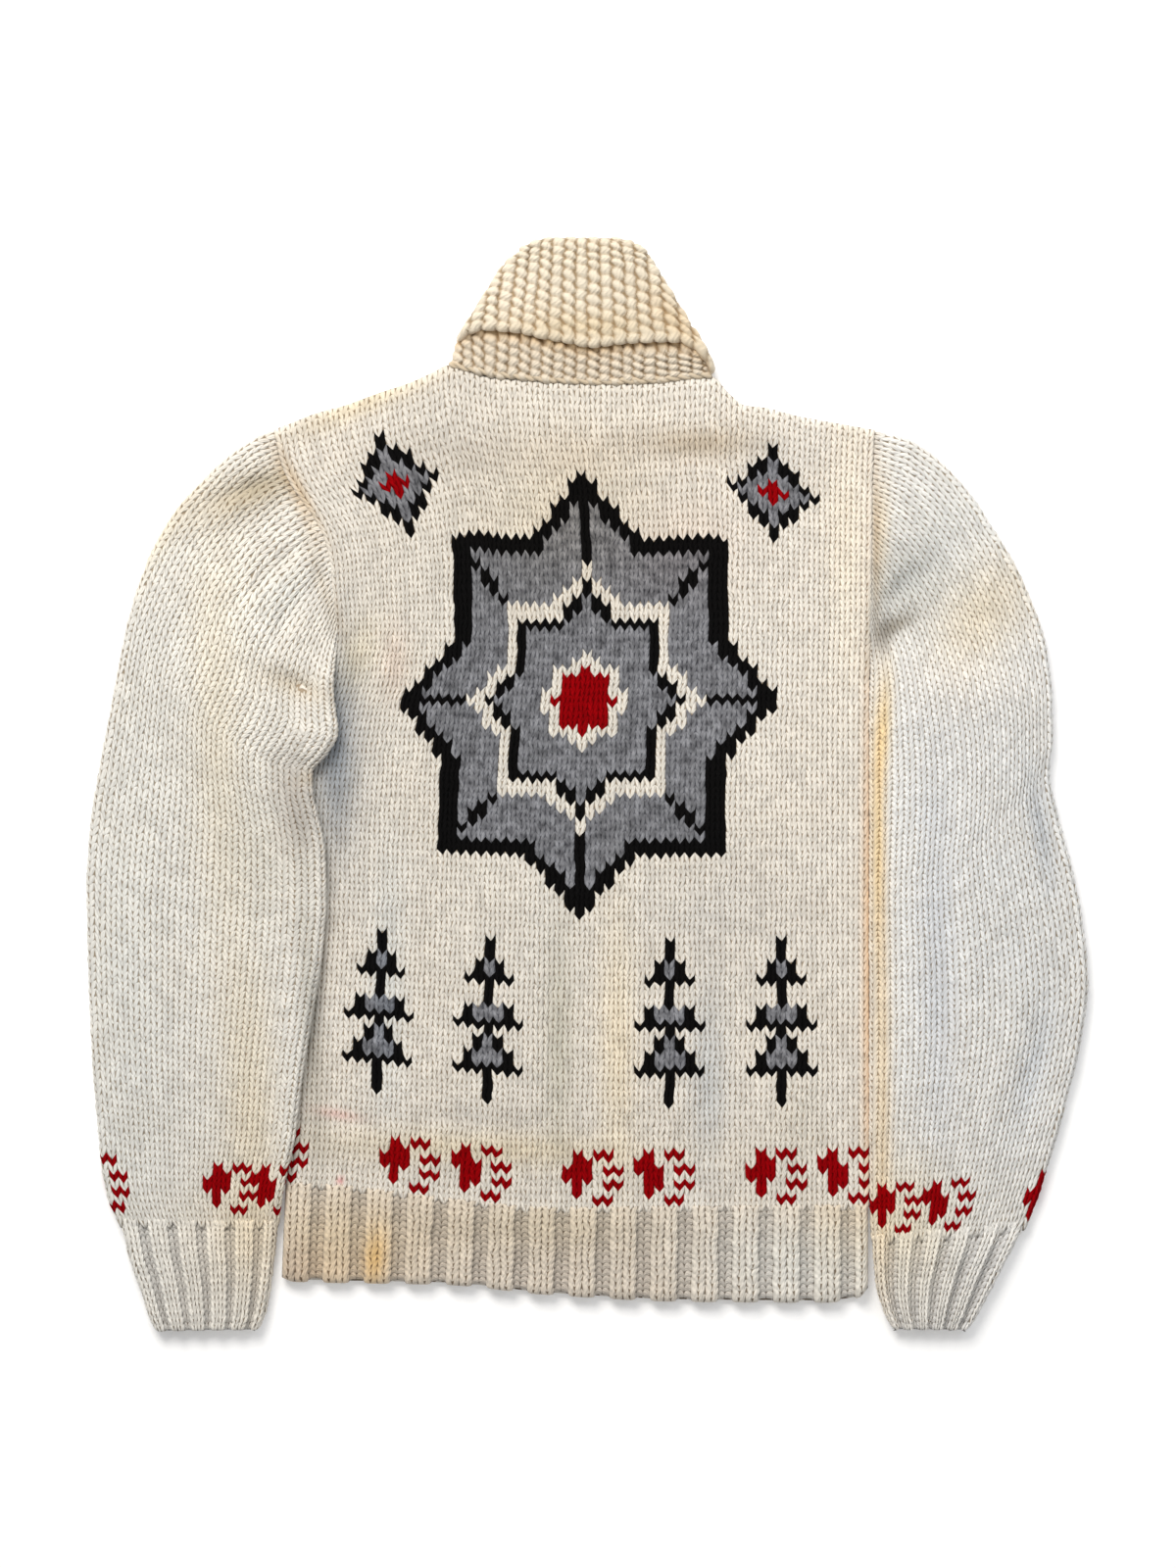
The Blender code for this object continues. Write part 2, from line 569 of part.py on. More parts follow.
def main():
    for old in list(bpy.data.objects):
        bpy.data.objects.remove(old, do_unlink=True)
    collection = bpy.data.collections.new(NAME)
    bpy.context.scene.collection.children.link(collection)

    make_object("front", CREAM, front_wall)
    make_object("back", CREAM, back_wall)
    plain = [(i / 12, 0.0) for i in range(13)]
    rounded = [plain[0], (0.0045, 0.0)] + plain[1:-1] + [(0.9955, 0.0), plain[-1]]
    hem_base = WALL + SEAM
    make_object("front_hem_rib", RIB_CREAM,
                lambda shape: hem_wall(shape, rounded, 0.0, False))
    make_object("back_hem_rib", RIB_CREAM,
                lambda shape: hem_wall(shape, rib_stations(HEM_RIBS), hem_base, True))
    make_object("left_sleeve", CREAM,
                lambda shape: sleeve_wall(shape, LEFT_SLEEVE, LEFT_SIDE, ARMPIT_LEFT_Y, support))
    make_object("right_sleeve", CREAM,
                lambda shape: sleeve_wall(shape, RIGHT_SLEEVE, RIGHT_SIDE, ARMPIT_RIGHT_Y,
                                          on_surface))
    make_object("left_cuff", RIB_CREAM, lambda shape: cuff_wall(shape, LEFT_CUFF, support))
    make_object("right_cuff", RIB_CREAM, lambda shape: cuff_wall(shape, RIGHT_CUFF, on_surface))
    make_object("collar", WARM_CREAM, collar_wall)


main()
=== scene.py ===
import math
import bpy
import numpy as np
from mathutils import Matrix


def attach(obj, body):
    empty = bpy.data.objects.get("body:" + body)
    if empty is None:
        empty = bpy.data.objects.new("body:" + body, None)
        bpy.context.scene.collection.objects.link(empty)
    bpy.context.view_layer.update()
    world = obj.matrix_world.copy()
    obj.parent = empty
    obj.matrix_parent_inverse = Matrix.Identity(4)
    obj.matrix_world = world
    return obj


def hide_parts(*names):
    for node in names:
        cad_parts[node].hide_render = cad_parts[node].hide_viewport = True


# A bulky hand-knitted pullover laid flat with its back up. Lengths are in millimetres
# until a mesh is made. X runs across, +Y towards the collar, +Z up from the table.

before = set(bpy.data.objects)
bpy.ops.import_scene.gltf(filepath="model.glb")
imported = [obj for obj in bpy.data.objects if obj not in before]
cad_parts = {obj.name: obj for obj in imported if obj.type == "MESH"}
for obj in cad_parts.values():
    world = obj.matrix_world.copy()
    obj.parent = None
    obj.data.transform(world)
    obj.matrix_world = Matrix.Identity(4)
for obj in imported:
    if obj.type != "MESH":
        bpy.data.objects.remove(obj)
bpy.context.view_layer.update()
mm = 0.001
seamGap = 0.4
cloth = 4.6              # thickness of the knitting
leastLevel = 0.05        # no yarn dips lower than this over the table
panelWidth = 396.0
cutEdge = 0.3            # keeps the cloth from thinning to nothing at its very edge


# Curves and soft noise

def lerp(start, end, share):
    return start + (end - start) * share


def ease(share):
    clamped = np.clip(share, 0.0, 1.0)
    return clamped * clamped * (3 - 2 * clamped)


def smoothThrough(knots, values, at):
    # A smooth curve through the values that never swings past them.
    knots = np.asarray(knots, float)
    values = np.asarray(values, float)
    spans = np.diff(knots)
    grades = np.diff(values) / spans
    product = grades[:-1] * grades[1:]
    total = np.where(product > 0, grades[:-1] + grades[1:], 1.0)
    inner = np.where(product > 0, 2 * product / total, 0.0)
    slopes = np.concatenate([grades[:1], inner, grades[-1:]])
    i = np.clip(np.searchsorted(knots, at, side="right") - 1, 0, len(spans) - 1)
    s = np.clip((at - knots[i]) / spans[i], 0, 1)
    start = values[i] * (1 + 2 * s) * (1 - s) ** 2 + slopes[i] * spans[i] * s * (1 - s) ** 2
    end = values[i + 1] * s * s * (3 - 2 * s) + slopes[i + 1] * spans[i] * s * s * (s - 1)
    return start + end


def along(line, at):
    return smoothThrough([row[0] for row in line], [row[1] for row in line], at)


def roundEdge(distance, radius):
    inside = np.clip(distance / radius, 0.0, 1.0)
    return np.sqrt(1 - (1 - inside) ** 2)


def wander(x, y, cell, size, seed):
    # Soft drift over the cloth, from a coarse seeded grid.
    grid = np.random.RandomState(seed).uniform(-1, 1, (64, 64))
    p = x / cell + 640.0
    q = y / cell + 640.0
    i = np.floor(p).astype(int)
    j = np.floor(q).astype(int)
    s = ease(p - i)
    t = ease(q - j)
    near = lerp(grid[i % 64, j % 64], grid[(i + 1) % 64, j % 64], s)
    far = lerp(grid[i % 64, (j + 1) % 64], grid[(i + 1) % 64, (j + 1) % 64], s)
    return size * lerp(near, far, t)


def softSpots(spots, x, y):
    # Sum of soft oval bumps; a spot is x, y, along, across, turn in degrees, size.
    total = np.zeros(np.broadcast(x, y).shape)
    for spotX, spotY, length, width, turn, size in spots:
        c = math.cos(math.radians(turn))
        s = math.sin(math.radians(turn))
        u = ((x - spotX) * c + (y - spotY) * s) / length
        v = ((y - spotY) * c - (x - spotX) * s) / width
        total += size * np.exp(-u * u - v * v)
    return total


def stainShadeAndLightAt(x, y, patches):
    # Soft stains, and warm or cool patches of painted light and shade, as in folds, creases
    # and where one part lies over another; a patch is a soft spot and the tint at its heart.
    tints = np.ones(np.broadcast(x, y).shape + (3,))
    for *spot, colour in patches:
        weight = softSpots([(*spot, 1)], x, y)
        tints *= lerp(1.0, np.array(colour), weight[..., None])
    return tints


# Meshes: fine outer skin, coarse inner skin, joined all round

def normalsOf(points, wrap):
    # Unit normals of a grid of points, from its neighbours.
    if wrap:
        padded = np.concatenate([points[:, -2:-1], points, points[:, 1:2]], axis=1)
        du = (padded[:, 2:] - padded[:, :-2]) / 2
    else:
        du = np.gradient(points, axis=1)
    normal = np.cross(du, np.gradient(points, axis=0))
    return normal / np.maximum(np.linalg.norm(normal, axis=2, keepdims=True), 1e-9)


def facesOf(number, u, v, order=(0, 1, 2, 3)):
    # Faces over a grid of numbered points, and the stitch map at their corners.
    made = []
    for grid in (number, u, v):
        grid = np.broadcast_to(grid, number.shape)
        corners = (grid[:-1, :-1], grid[:-1, 1:], grid[1:, 1:], grid[1:, :-1])
        made.append(np.stack([corners[i] for i in order], axis=2).reshape(-1, 4))
    return made[0], np.stack(made[1:], axis=2).reshape(-1, 2)


def makePiece(name, points, faces, uv, tints, materials, materialOf=()):
    # The points and faces that show come first; tints and the stitch map are theirs.
    mesh = bpy.data.meshes.new(name)
    mesh.from_pydata((points * mm).tolist(), [], faces)
    everyUv = np.zeros((len(mesh.loops), 2), np.float32)
    everyUv[:len(uv)] = uv
    mesh.uv_layers.new(name="stitches").data.foreach_set("uv", everyUv.ravel())
    colours = np.ones((len(points), 4), np.float32)
    colours[:len(tints), :3] = tints
    tint = mesh.color_attributes.new(name="tint", type="FLOAT_COLOR", domain="POINT")
    tint.data.foreach_set("color", colours.ravel())
    for material in materials:
        mesh.materials.append(material)
    index = np.zeros(len(faces), np.int32)
    index[:len(materialOf)] = materialOf
    mesh.polygons.foreach_set("material_index", index)
    mesh.shade_smooth()
    mesh.update()
    mesh.validate()
    piece = bpy.data.objects.new(name, mesh)
    bpy.context.scene.collection.objects.link(piece)
    return piece


def finishPiece(piece, node, slot, **cut):
    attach(piece, "root")
    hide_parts(node)
    print(piece.name, "ready")


def closedWall(name, outer, inner, coarse, wrap, uvs, tints, materials, materialOf):
    # outer is rows x columns of points; inner is the same points moved in, used sparsely.
    rows, cols = outer.shape[:2]
    span = cols - 1 if wrap else cols
    last, right = rows - 1, cols - 1
    keepV = list(range(0, last, coarse[0])) + [last]
    keepU = list(range(0, right, coarse[1])) + [right]
    number = np.arange(rows * span).reshape(rows, span)
    if wrap:
        number = np.concatenate([number, number[:, :1]], axis=1)
    quads, uv = facesOf(number, uvs[0], uvs[1][:, None])
    lowId = {}
    extra = []

    def addLow(v, u, border=True):
        # The inner skin's border stands right under the outer skin's.
        if (v, u) not in lowId:
            lowId[(v, u)] = rows * span + len(extra)
            straight = border and not wrap
            extra.append((*outer[v, u, :2], inner[v, u, 2]) if straight else inner[v, u])

    for u in range(span):
        addLow(0, u)
        addLow(last, u)
    if not wrap:
        for v in range(rows):
            addLow(v, 0)
            addLow(v, right)
    for v in keepV[1:-1]:
        for u in (keepU[:-1] if wrap else keepU[1:-1]):
            addLow(v, u, border=False)

    def low(v, u):
        return lowId[(v, u % span if wrap else u)]

    polygons = []
    for v0, v1 in zip(keepV, keepV[1:]):
        for u0, u1 in zip(keepU, keepU[1:]):
            # Walk round the cell, taking every point along an open edge.
            ring = [low(v0, u) for u in range(u0, u1 if v0 == 0 else u0 + 1)]
            sideEnd = v1 if not wrap and u1 == right else v0 + 1
            ring += [low(v, u1) for v in range(v0, sideEnd)]
            ring += [low(v1, u) for u in range(u1, u0 if v1 == last else u1 - 1, -1)]
            sideEnd = v0 if not wrap and u0 == 0 else v1 - 1
            ring += [low(v, u0) for v in range(v1, sideEnd, -1)]
            polygons.append(ring[::-1])
    top = number.tolist()
    for u in range(right):
        polygons.append([low(0, u), low(0, u + 1), top[0][u + 1], top[0][u]])
        polygons.append([low(last, u + 1), low(last, u), top[last][u], top[last][u + 1]])
    for v in range(0 if wrap else last):
        polygons.append([low(v + 1, 0), low(v, 0), top[v][0], top[v + 1][0]])
        polygons.append([low(v, right), low(v + 1, right), top[v + 1][right], top[v][right]])
    points = np.concatenate([outer[:, :span].reshape(-1, 3), np.array(extra)])
    return makePiece(name, points, quads.tolist() + polygons, uv,
                     tints[:, :span].reshape(-1, 3), materials, materialOf.ravel())


# Stitches: two leaning legs to a knit stitch, a short bar to a purl one

stitch = {
    "chevronRows": 0.84,                        # rows that a V spans from its tip to its ends
    "legTops": ((0.22, 0.92), (0.78, 0.92)),    # across a leg, and how high it stands there
    "legSeams": (0.36, 0.34), "ribSeam": 0.12,  # how high it is before and within a V
    "purlBar": ((0.0, 0.0, 0.4), (0.25, 0.8, 0.9), (0.5, 1.0, 1.1), (0.75, 0.8, 0.9)),
    "plump": (0.75, 1.18), "bright": (0.9, 1.06), "purlHeight": 0.5,
    "endFade": 1.5, "endSink": 0.7, "endHeight": 0.3,   # rows at an end, and height there
    "wanderCell": 7.0, "wanderAcross": 0.75, "wanderAlong": 0.8, "wanderEdge": 8,
    "roundCell": 8.0, "roundWander": 0.6,               # the same on a tube
}
# fades says whether the Vs flatten out at the low and at the top end; rowSteps gives the
# places along a row that are meshed, and how high each stands.
plainKnitting = {"relief": 1.9, "tuck": 0.72, "thick": 3.0, "sideFade": 3.0,
                 "fades": (True, True), "coarse": (4, 12), "tints": (),
                 "rowSteps": ((0.0, 0.0), (0.52, 1.0))}
ribbed = {"tuck": 0.5, "coarse": (6, 16), "rowSteps": ((0.0, 0.0), (0.3, 1.0), (0.7, 0.9))}


def stationsAcross(columns):
    # A row of points: place across, leg number, chevron height, roundness, and 1 on purl.
    total = sum(width for _, width in columns)
    seams = stitch["legSeams"]
    if any(kind == "purl" for kind, _ in columns):
        seams = (stitch["ribSeam"], seams[1])
    points = []
    x = 0.0
    for number, (kind, width) in enumerate(columns):
        if kind == "knit":
            for half, seam in enumerate(seams):
                for w, high in ((0.0, seam), *stitch["legTops"]):
                    points.append(((x + (half + w) * width / 2) / total,
                                   2 * number + half + w, w if half else 1 - w, high, 0))
        else:
            for w, high, arch in stitch["purlBar"]:
                points.append(((x + w * width) / total, 2 * number + 2 * w, arch, high, 1))
        x += width
    points.append((1, 2 * len(columns), 1, points[0][3], 0))
    return np.array(points).T


def knit(name, columns, rows, place, yarns, chart, wrap=False, **changes):
    # Lays stitches on a surface: place(across, up) gives the points that they stand on.
    values = {**plainKnitting, **changes}
    share, leg, chevron, crown, purl = stationsAcross(columns)
    steps = values["rowSteps"]
    rowPlace = np.array([row + s for row in range(rows) for s, _ in steps] + [float(rows)])
    rise = np.array([high for _ in range(rows) for _, high in steps] + [0.0])
    fromEnd = np.minimum(rowPlace if values["fades"][0] else np.inf,
                         rows - rowPlace if values["fades"][1] else np.inf)[:, None]
    fade = np.minimum(1.0, fromEnd / stitch["endFade"])
    across = np.broadcast_to(share[None, :], (len(rowPlace), len(share)))
    up = (rowPlace[:, None] + (chevron[None, :] - 0.5) * stitch["chevronRows"] * fade) / rows
    columnOf = np.minimum((leg[None, :] / 2).astype(int), len(columns) - 1)
    rowOf = np.minimum(rowPlace[:, None].astype(int), rows - 1)
    drift = np.random.RandomState(values["seed"])

    def eachStitch(limits):
        made = drift.uniform(*limits, (rows, len(columns)))[rowOf, columnOf]
        if wrap:
            made[:, -1] = made[:, 0]
        return made

    plump = eachStitch(stitch["plump"])
    bright = eachStitch(stitch["bright"])
    base = place(across, up)
    x = base[..., 0]
    y = base[..., 1]
    # Stitches wander a little sideways and along; x and y are views, so base moves too.
    seed, cell = values["seed"], stitch["wanderCell"]
    if wrap:
        y += fade * wander(x, y, stitch["roundCell"], stitch["roundWander"], seed + 2)
    else:
        loose = np.minimum(1.0, stitch["wanderEdge"] * np.minimum(across, 1 - across))
        loose = loose * np.clip(np.minimum(up, 1 - up) * rows / 3, 0, 1)
        x += loose * wander(x, y, cell, stitch["wanderAcross"], seed + 1)
        y += loose * wander(x, y, cell, stitch["wanderAlong"], seed + 2)
    normal = normalsOf(base, wrap)
    if wrap:
        normal[:, -1] = normal[:, 0]
    knitShape = lerp(values["tuck"], 1.0, rise[:, None]) * crown[None, :]
    purlShape = crown[None, :] * rise[:, None] * stitch["purlHeight"]
    relief = values["relief"] * plump * lerp(knitShape, purlShape, purl[None, :])
    sunk = np.clip(fromEnd / stitch["endSink"], 0, 1)
    relief = relief * lerp(stitch["endHeight"], 1.0, sunk)
    if not wrap:
        side = np.minimum(share, 1 - share) * panelWidth
        relief = relief * np.clip(side / values["sideFade"], 0.2, 1)[None, :]
    outer = base + normal * relief[..., None]
    outer[..., 2] = np.maximum(outer[..., 2], leastLevel)
    inner = base - normal * values["thick"]
    if not wrap:
        under = values["under"]
        inner[..., 2] = under(across, up) if callable(under) else under
    tints = stainShadeAndLightAt(x, y, values["tints"]) * bright[..., None]
    colMid = np.minimum(((leg[:-1] + leg[1:]) / 4).astype(int), len(columns) - 1)
    rowMid = np.minimum(((rowPlace[:-1] + rowPlace[1:]) / 2).astype(int), rows - 1)
    materialOf = chart(rows, len(columns))[np.ix_(rowMid, colMid)].astype(np.int32)
    return closedWall(name, outer, inner, values["coarse"], wrap, (leg, rowPlace), tints,
                      yarns, materialOf)


print("helpers ready")


# Wool: one node tree for every yarn. Colours are red, green, blue up to 255: where the yarn
# is light, dark and aged, and the painted shade that darkens it in its grooves and in the
# holes between.

woolLooks = {
    "cream": {"light": (238, 233, 224), "dark": (220, 213, 203), "aged": (230, 218, 200),
              "groove": (186, 173, 156), "hole": (186, 174, 160)},
    "ribCream": {"light": (240, 235, 226), "dark": (220, 213, 203), "aged": (232, 220, 202),
                 "groove": (158, 146, 132), "hole": (158, 148, 136), "outerGap": 1.8,
                 "innerGap": 1.8, "endGap": 0.2},
    # The yarn between the ribs is the rib's cream made darker and cooler: painted shade.
    "shadedValley": {"light": (220, 215, 208), "dark": (192, 187, 181), "aged": (206, 197, 184),
               "groove": (160, 151, 142), "hole": (140, 131, 122)},
    "collarCream": {"light": (234, 222, 199), "dark": (218, 203, 177),
                    "aged": (226, 208, 179), "groove": (188, 164, 130),
                    "hole": (120, 100, 78)},
    "grey": {"sheen": 0.1, "heather": 2.1, "light": (164, 164, 169), "dark": (52, 52, 58),
             "aged": (112, 112, 114), "groove": (190, 190, 196), "hole": (120, 120, 124)},
    "black": {"sheen": 0.0, "specular": 0.06, "light": (15, 14, 14), "dark": (6, 6, 6),
              "aged": (11, 10, 10), "groove": (200, 200, 200), "hole": (150, 150, 150)},
    "red": {"sheen": 0.0, "specular": 0.04, "light": (160, 2, 9), "dark": (114, 1, 5),
            "aged": (138, 2, 8), "groove": (205, 185, 185), "hole": (190, 170, 170)},
}
plainWool = {"roughness": 0.92, "sheen": 0.25, "specular": 0.2, "bump": 0.75,
             "bumpDepth": 0.0011, "heather": 0.9, "cloud": 0.6, "cloudScale": 22.0,
             "wobbleScale": 120.0, "strandScale": 160.0, "fibreScale": 900.0,
             "plyHeight": 0.13, "fibreHeight": 0.35, "litFrom": 0.2, "litTo": 0.7,
             "outerGap": 1.6, "innerGap": 1.5, "endGap": 0.95, "legDrift": 0.5,
             "rowDrift": 0.8}
# How the plies twist over a leg and along the rows, how square a stitch is across and along,
# how soon it rounds off, and how far out its holes begin. A bump is shaped by the mesh.
stitchKinds = {
    "knit": {"twist": (2.6, -0.9), "square": (3.2, 3.0), "rounding": 0.6, "holeFrom": 1.2,
             "slant": 0.2},
    "purl": {"twist": (0.7, 3.0), "square": (4.0, 2.6), "rounding": 0.75, "holeFrom": 1.0},
    "bump": {"twist": (1.5, 1.2), "rounding": 0.6, "holeFrom": 1.0},
}


def linear(colour):
    shares = [value / 255.0 for value in colour]
    return (*[share / 12.92 if share <= 0.04045 else ((share + 0.055) / 1.055) ** 2.4
              for share in shares], 1.0)


def wool(name, kind="knit"):
    look = {**plainWool, **woolLooks[name], **stitchKinds[kind]}
    material = bpy.data.materials.new(f"{name}_{kind}_wool")
    material.use_nodes = True
    tree = material.node_tree

    def feed(made, values):
        for key, value in values.items():
            if isinstance(value, (int, float, tuple)):
                made.inputs[key].default_value = value
            else:
                tree.links.new(value, made.inputs[key])

    def node(nodeType, values=None, **settings):
        made = tree.nodes.new(nodeType)
        for key, value in settings.items():
            setattr(made, key, value)
        feed(made, values or {})
        return made

    def maths(operation, *values):
        return node("ShaderNodeMath", dict(enumerate(values)), operation=operation).outputs[0]

    def plus(first, second):
        return maths("ADD", first, second)

    def times(first, second):
        return maths("MULTIPLY", first, second)

    def scaled(value, factor, offset):
        return maths("MULTIPLY_ADD", value, factor, offset)

    def fromMiddle(value, exponent):
        return maths("POWER", times(maths("ABSOLUTE", value), 2.0), exponent)

    def noise(scale, detail):
        return node("ShaderNodeTexNoise", {"Vector": place, "Scale": scale, "Detail": detail})

    def mix(factor, first, second, blend="MIX"):
        return node("ShaderNodeMix", {0: factor, 6: first, 7: second}, data_type="RGBA",
                    blend_type=blend).outputs[2]

    stitches = node("ShaderNodeUVMap", uv_map="stitches").outputs[0]
    stitches = node("ShaderNodeSeparateXYZ", {0: stitches}).outputs
    place = node("ShaderNodeTexCoord").outputs["Object"]
    # No two stitches are quite alike: their outlines drift off the even grid.
    wobble = noise(look["wobbleScale"], 1.0)
    drift = node("ShaderNodeSeparateColor", {0: wobble.outputs["Color"]}).outputs
    legU = plus(stitches[0], scaled(drift[0], look["legDrift"], -look["legDrift"] / 2))
    rowV = plus(stitches[1], scaled(drift[1], look["rowDrift"], -look["rowDrift"] / 2))
    distance, holeStrength = 0.0, 0.6
    z = plus(maths("FRACT", rowV), -0.5)
    if kind == "knit":
        # Each leg is a plump slanting almond; small holes, painted dark as shade, are left
        # where four meet.
        t = maths("PINGPONG", legU, 1.0)
        x = plus(plus(t, -0.5), times(z, look["slant"]))
        narrow = scaled(t, look["innerGap"] - look["outerGap"], look["outerGap"])
        distance = plus(times(fromMiddle(x, look["square"][0]), narrow),
                        times(fromMiddle(z, look["square"][1]), look["endGap"]))
        holeStrength = scaled(t, 0.3, 0.7)
    elif kind == "purl":
        # A purl bump is a short bar across the column.
        w = plus(maths("FRACT", times(legU, 0.5)), -0.5)
        distance = plus(fromMiddle(w, look["square"][0]), fromMiddle(z, look["square"][1]))
    almond = maths("POWER", maths("MAXIMUM", scaled(distance, -look["rounding"], 1.0), 0.0),
                   0.6)
    hole = maths("MAXIMUM", plus(distance, -look["holeFrom"]), 0.0)
    hole = times(maths("MINIMUM", hole, 1.0), holeStrength)
    twist = [times(part, turns) for part, turns in zip((legU, rowV), look["twist"])]
    ply = maths("SINE", times(plus(*twist), 2 * math.pi))
    strand = noise(look["strandScale"], 2.0).outputs[0]
    fibre = noise(look["fibreScale"], 3.0).outputs[0]
    cloud = noise(look["cloudScale"], 4.0).outputs[0]
    height = plus(plus(almond, times(ply, look["plyHeight"])),
                  times(fibre, look["fibreHeight"]))
    bump = node("ShaderNodeBump", {"Strength": look["bump"], "Distance": look["bumpDepth"],
                                   "Height": height})

    light, dark, aged, groove, holeShade = [
        linear(look[key]) for key in ("light", "dark", "aged", "groove", "hole")]
    lit = node("ShaderNodeMapRange", {"Value": almond, "From Min": look["litFrom"],
                                      "From Max": look["litTo"]},
               interpolation_type="SMOOTHSTEP").outputs[0]
    yarn = mix(times(plus(strand, -0.3), look["heather"]), light, dark)
    yarn = mix(times(cloud, look["cloud"]), yarn, aged)
    # Painted shade: the yarn darkens in the grooves at each leg's or bar's edge, and in the
    # holes between the legs.
    yarn = mix(lit, mix(1.0, yarn, groove, "MULTIPLY"), yarn)
    yarn = mix(times(hole, scaled(strand, 1.2, -0.2)), yarn, holeShade, "MULTIPLY")
    tint = node("ShaderNodeVertexColor", layer_name="tint").outputs[0]
    feed(tree.nodes["Principled BSDF"], {
        "Base Color": mix(1.0, yarn, tint, "MULTIPLY"), "Normal": bump.outputs[0],
        "Roughness": look["roughness"], "Sheen Weight": look["sheen"],
        "Sheen Roughness": 0.5, "Specular IOR Level": look["specular"]})
    return material


motifYarns = [wool(name) for name in ("cream", "grey", "black", "red")]
ribYarns = [wool("ribCream"), wool("shadedValley", "purl")]
collarWool = wool("collarCream", "bump")
print("wool ready")


# Outline of the body: sides as (y, x), edges as (x, y). The left side runs a little way
# under the sleeve.
leftSide = (
    (-350, -206.2), (-301, -205.9), (-271.6, -203.6), (-231, -200.3), (-165, -197.7),
    (-99, -193.7), (-33, -191.5), (0, -189), (26.7, -185.5), (53.1, -180),
    (72.9, -174), (104, -170.5), (146.2, -172.6), (164.7, -176.6), (180.5, -184.5),
    (201, -199), (216.8, -206.2), (239.2, -210.9),
)
rightSide = (
    (-350, 189.1), (-66, 189.1), (66, 189.4), (105.9, 190.7), (198, 191.4),
    (239.2, 193.1),
)
topEdge = (
    (-210.9, 239.2), (-197.7, 244.5), (-182.5, 250.5), (-165.3, 255.1), (-139.6, 264.3),
    (-119.8, 270.9), (-105, 277.5), (-92.7, 282.8), (-80.9, 279.5), (-65, 274.9),
    (-44.6, 273.6), (-18, 271.6), (8.9, 270.9), (29.4, 270.9), (49.8, 272.2),
    (69.6, 274.9), (84.2, 274.9), (94.7, 264.3), (105.9, 255.8), (121.8, 253.8),
    (138.3, 249.2), (166, 243.9), (193.1, 239.2),
)
ribLine = (
    (-203.6, -271.6), (-181.2, -272.2), (-124.4, -278.2), (-78.9, -283.5), (-26.1, -288.1),
    (66.3, -287.4), (132.3, -286.8), (189.1, -286.1),
)
hemLine = (
    (-206.2, -331), (-197.7, -334), (-118.5, -335.6), (-92.7, -336.3), (-26.1, -342.9),
    (66.3, -347.5), (158.7, -348.2), (181.8, -345.5), (189.1, -338),
)
armpitLeftY = 104.0
armpitRightY = 105.9


# Body panels

body = {
    "columns": 57, "rows": 107, "armpitShare": 0.72, "skinDepth": 1.5, "frontSkin": 0.9,
    "length": 600.0, "sideBend": 2.2,
    "swells": (
        (-105, 60, 110, 22, 86, 3.1), (-20, 120, 90, 40, 80, 2),
        (90, 30, 120, 30, 94, 2.5), (-60, -150, 90, 30, 100, 2.2),
        (60, -170, 80, 34, 84, 2.4), (20, 225, 28, 70, 90, 1.7),
        (-19.5, -174.6, 76, 10, 90, -3.9), (20, -178, 82, 12, 90, 2.8),
        (81.5, -197.7, 62, 12, 90, -3.1), (140, -210, 44, 14, 90, 2.5),
        (77, 222, 42, 9, 0, -3.1), (-72, -232, 110, 9, -2, -2.8),
        (-134, -130, 80, 11, 90, -2.2),
    ),
    "restLift": 1.8, "leastLift": 0.2, "mostLift": 6.0, "sleeveReach": 18.0,
    "swellFade": 30.0, "armholeFirm": 2.2, "armholeFade": 0.05, "lap": 0.8, "lapBend": 12,
}


def panelXY(across, up):
    # A point of the panel: across from its left side, up from the hem rib to the top edge.
    limit = body["armpitShare"]
    ribX = lerp(ribLine[0][0], ribLine[-1][0], across)
    topX = lerp(topEdge[0][0], topEdge[-1][0], across)
    below = up < limit
    low = np.minimum(up / limit, 1)
    high = np.clip((up - limit) / (1 - limit), 0, 1)
    armpit = lerp(armpitLeftY, armpitRightY, across)
    leftY = np.where(below, lerp(ribLine[0][1], armpitLeftY, low),
                     lerp(armpitLeftY, topEdge[0][1], high))
    rightY = np.where(below, lerp(ribLine[-1][1], armpitRightY, low),
                      lerp(armpitRightY, topEdge[-1][1], high))
    y = np.where(below, lerp(along(ribLine, ribX), armpit, low),
                 lerp(armpit, along(topEdge, topX), high))
    plainLeft = lerp(ribLine[0][0], topEdge[0][0], up)
    plainRight = lerp(ribLine[-1][0], topEdge[-1][0], up)
    x = lerp(plainLeft, plainRight, across)
    x = x + (along(leftSide, leftY) - plainLeft) * (1 - across) ** body["sideBend"]
    x = x + (along(rightSide, rightY) - plainRight) * across ** body["sideBend"]
    return x, y


def atArmhole(up):
    return ease((up - body["armpitShare"]) / body["armholeFade"])


def backLift(x, y, across, up):
    # How far the back is swollen up off the front.
    fromSide = np.minimum(across, 1 - across) * (topEdge[-1][0] - topEdge[0][0])
    fromEnd = np.minimum(up, 1 - up) * (topEdge[0][1] - ribLine[0][1])
    fade = ease((fromSide - body["sleeveReach"]) / body["swellFade"])
    fade = fade * ease(fromEnd / body["swellFade"])
    swell = body["restLift"] + softSpots(body["swells"], x, y)
    return fade * np.clip(swell, body["leastLift"], body["mostLift"])


def panelEdge(across, up):
    # How full the panel is near its sides and its top edge, from 0 to 1.
    side = np.minimum(across, 1 - across) * (topEdge[-1][0] - topEdge[0][0]) + cutEdge
    side = side * lerp(1.0, body["armholeFirm"], atArmhole(up))
    return roundEdge(np.minimum(side, (1 - up) * body["length"] + cutEdge), cloth)


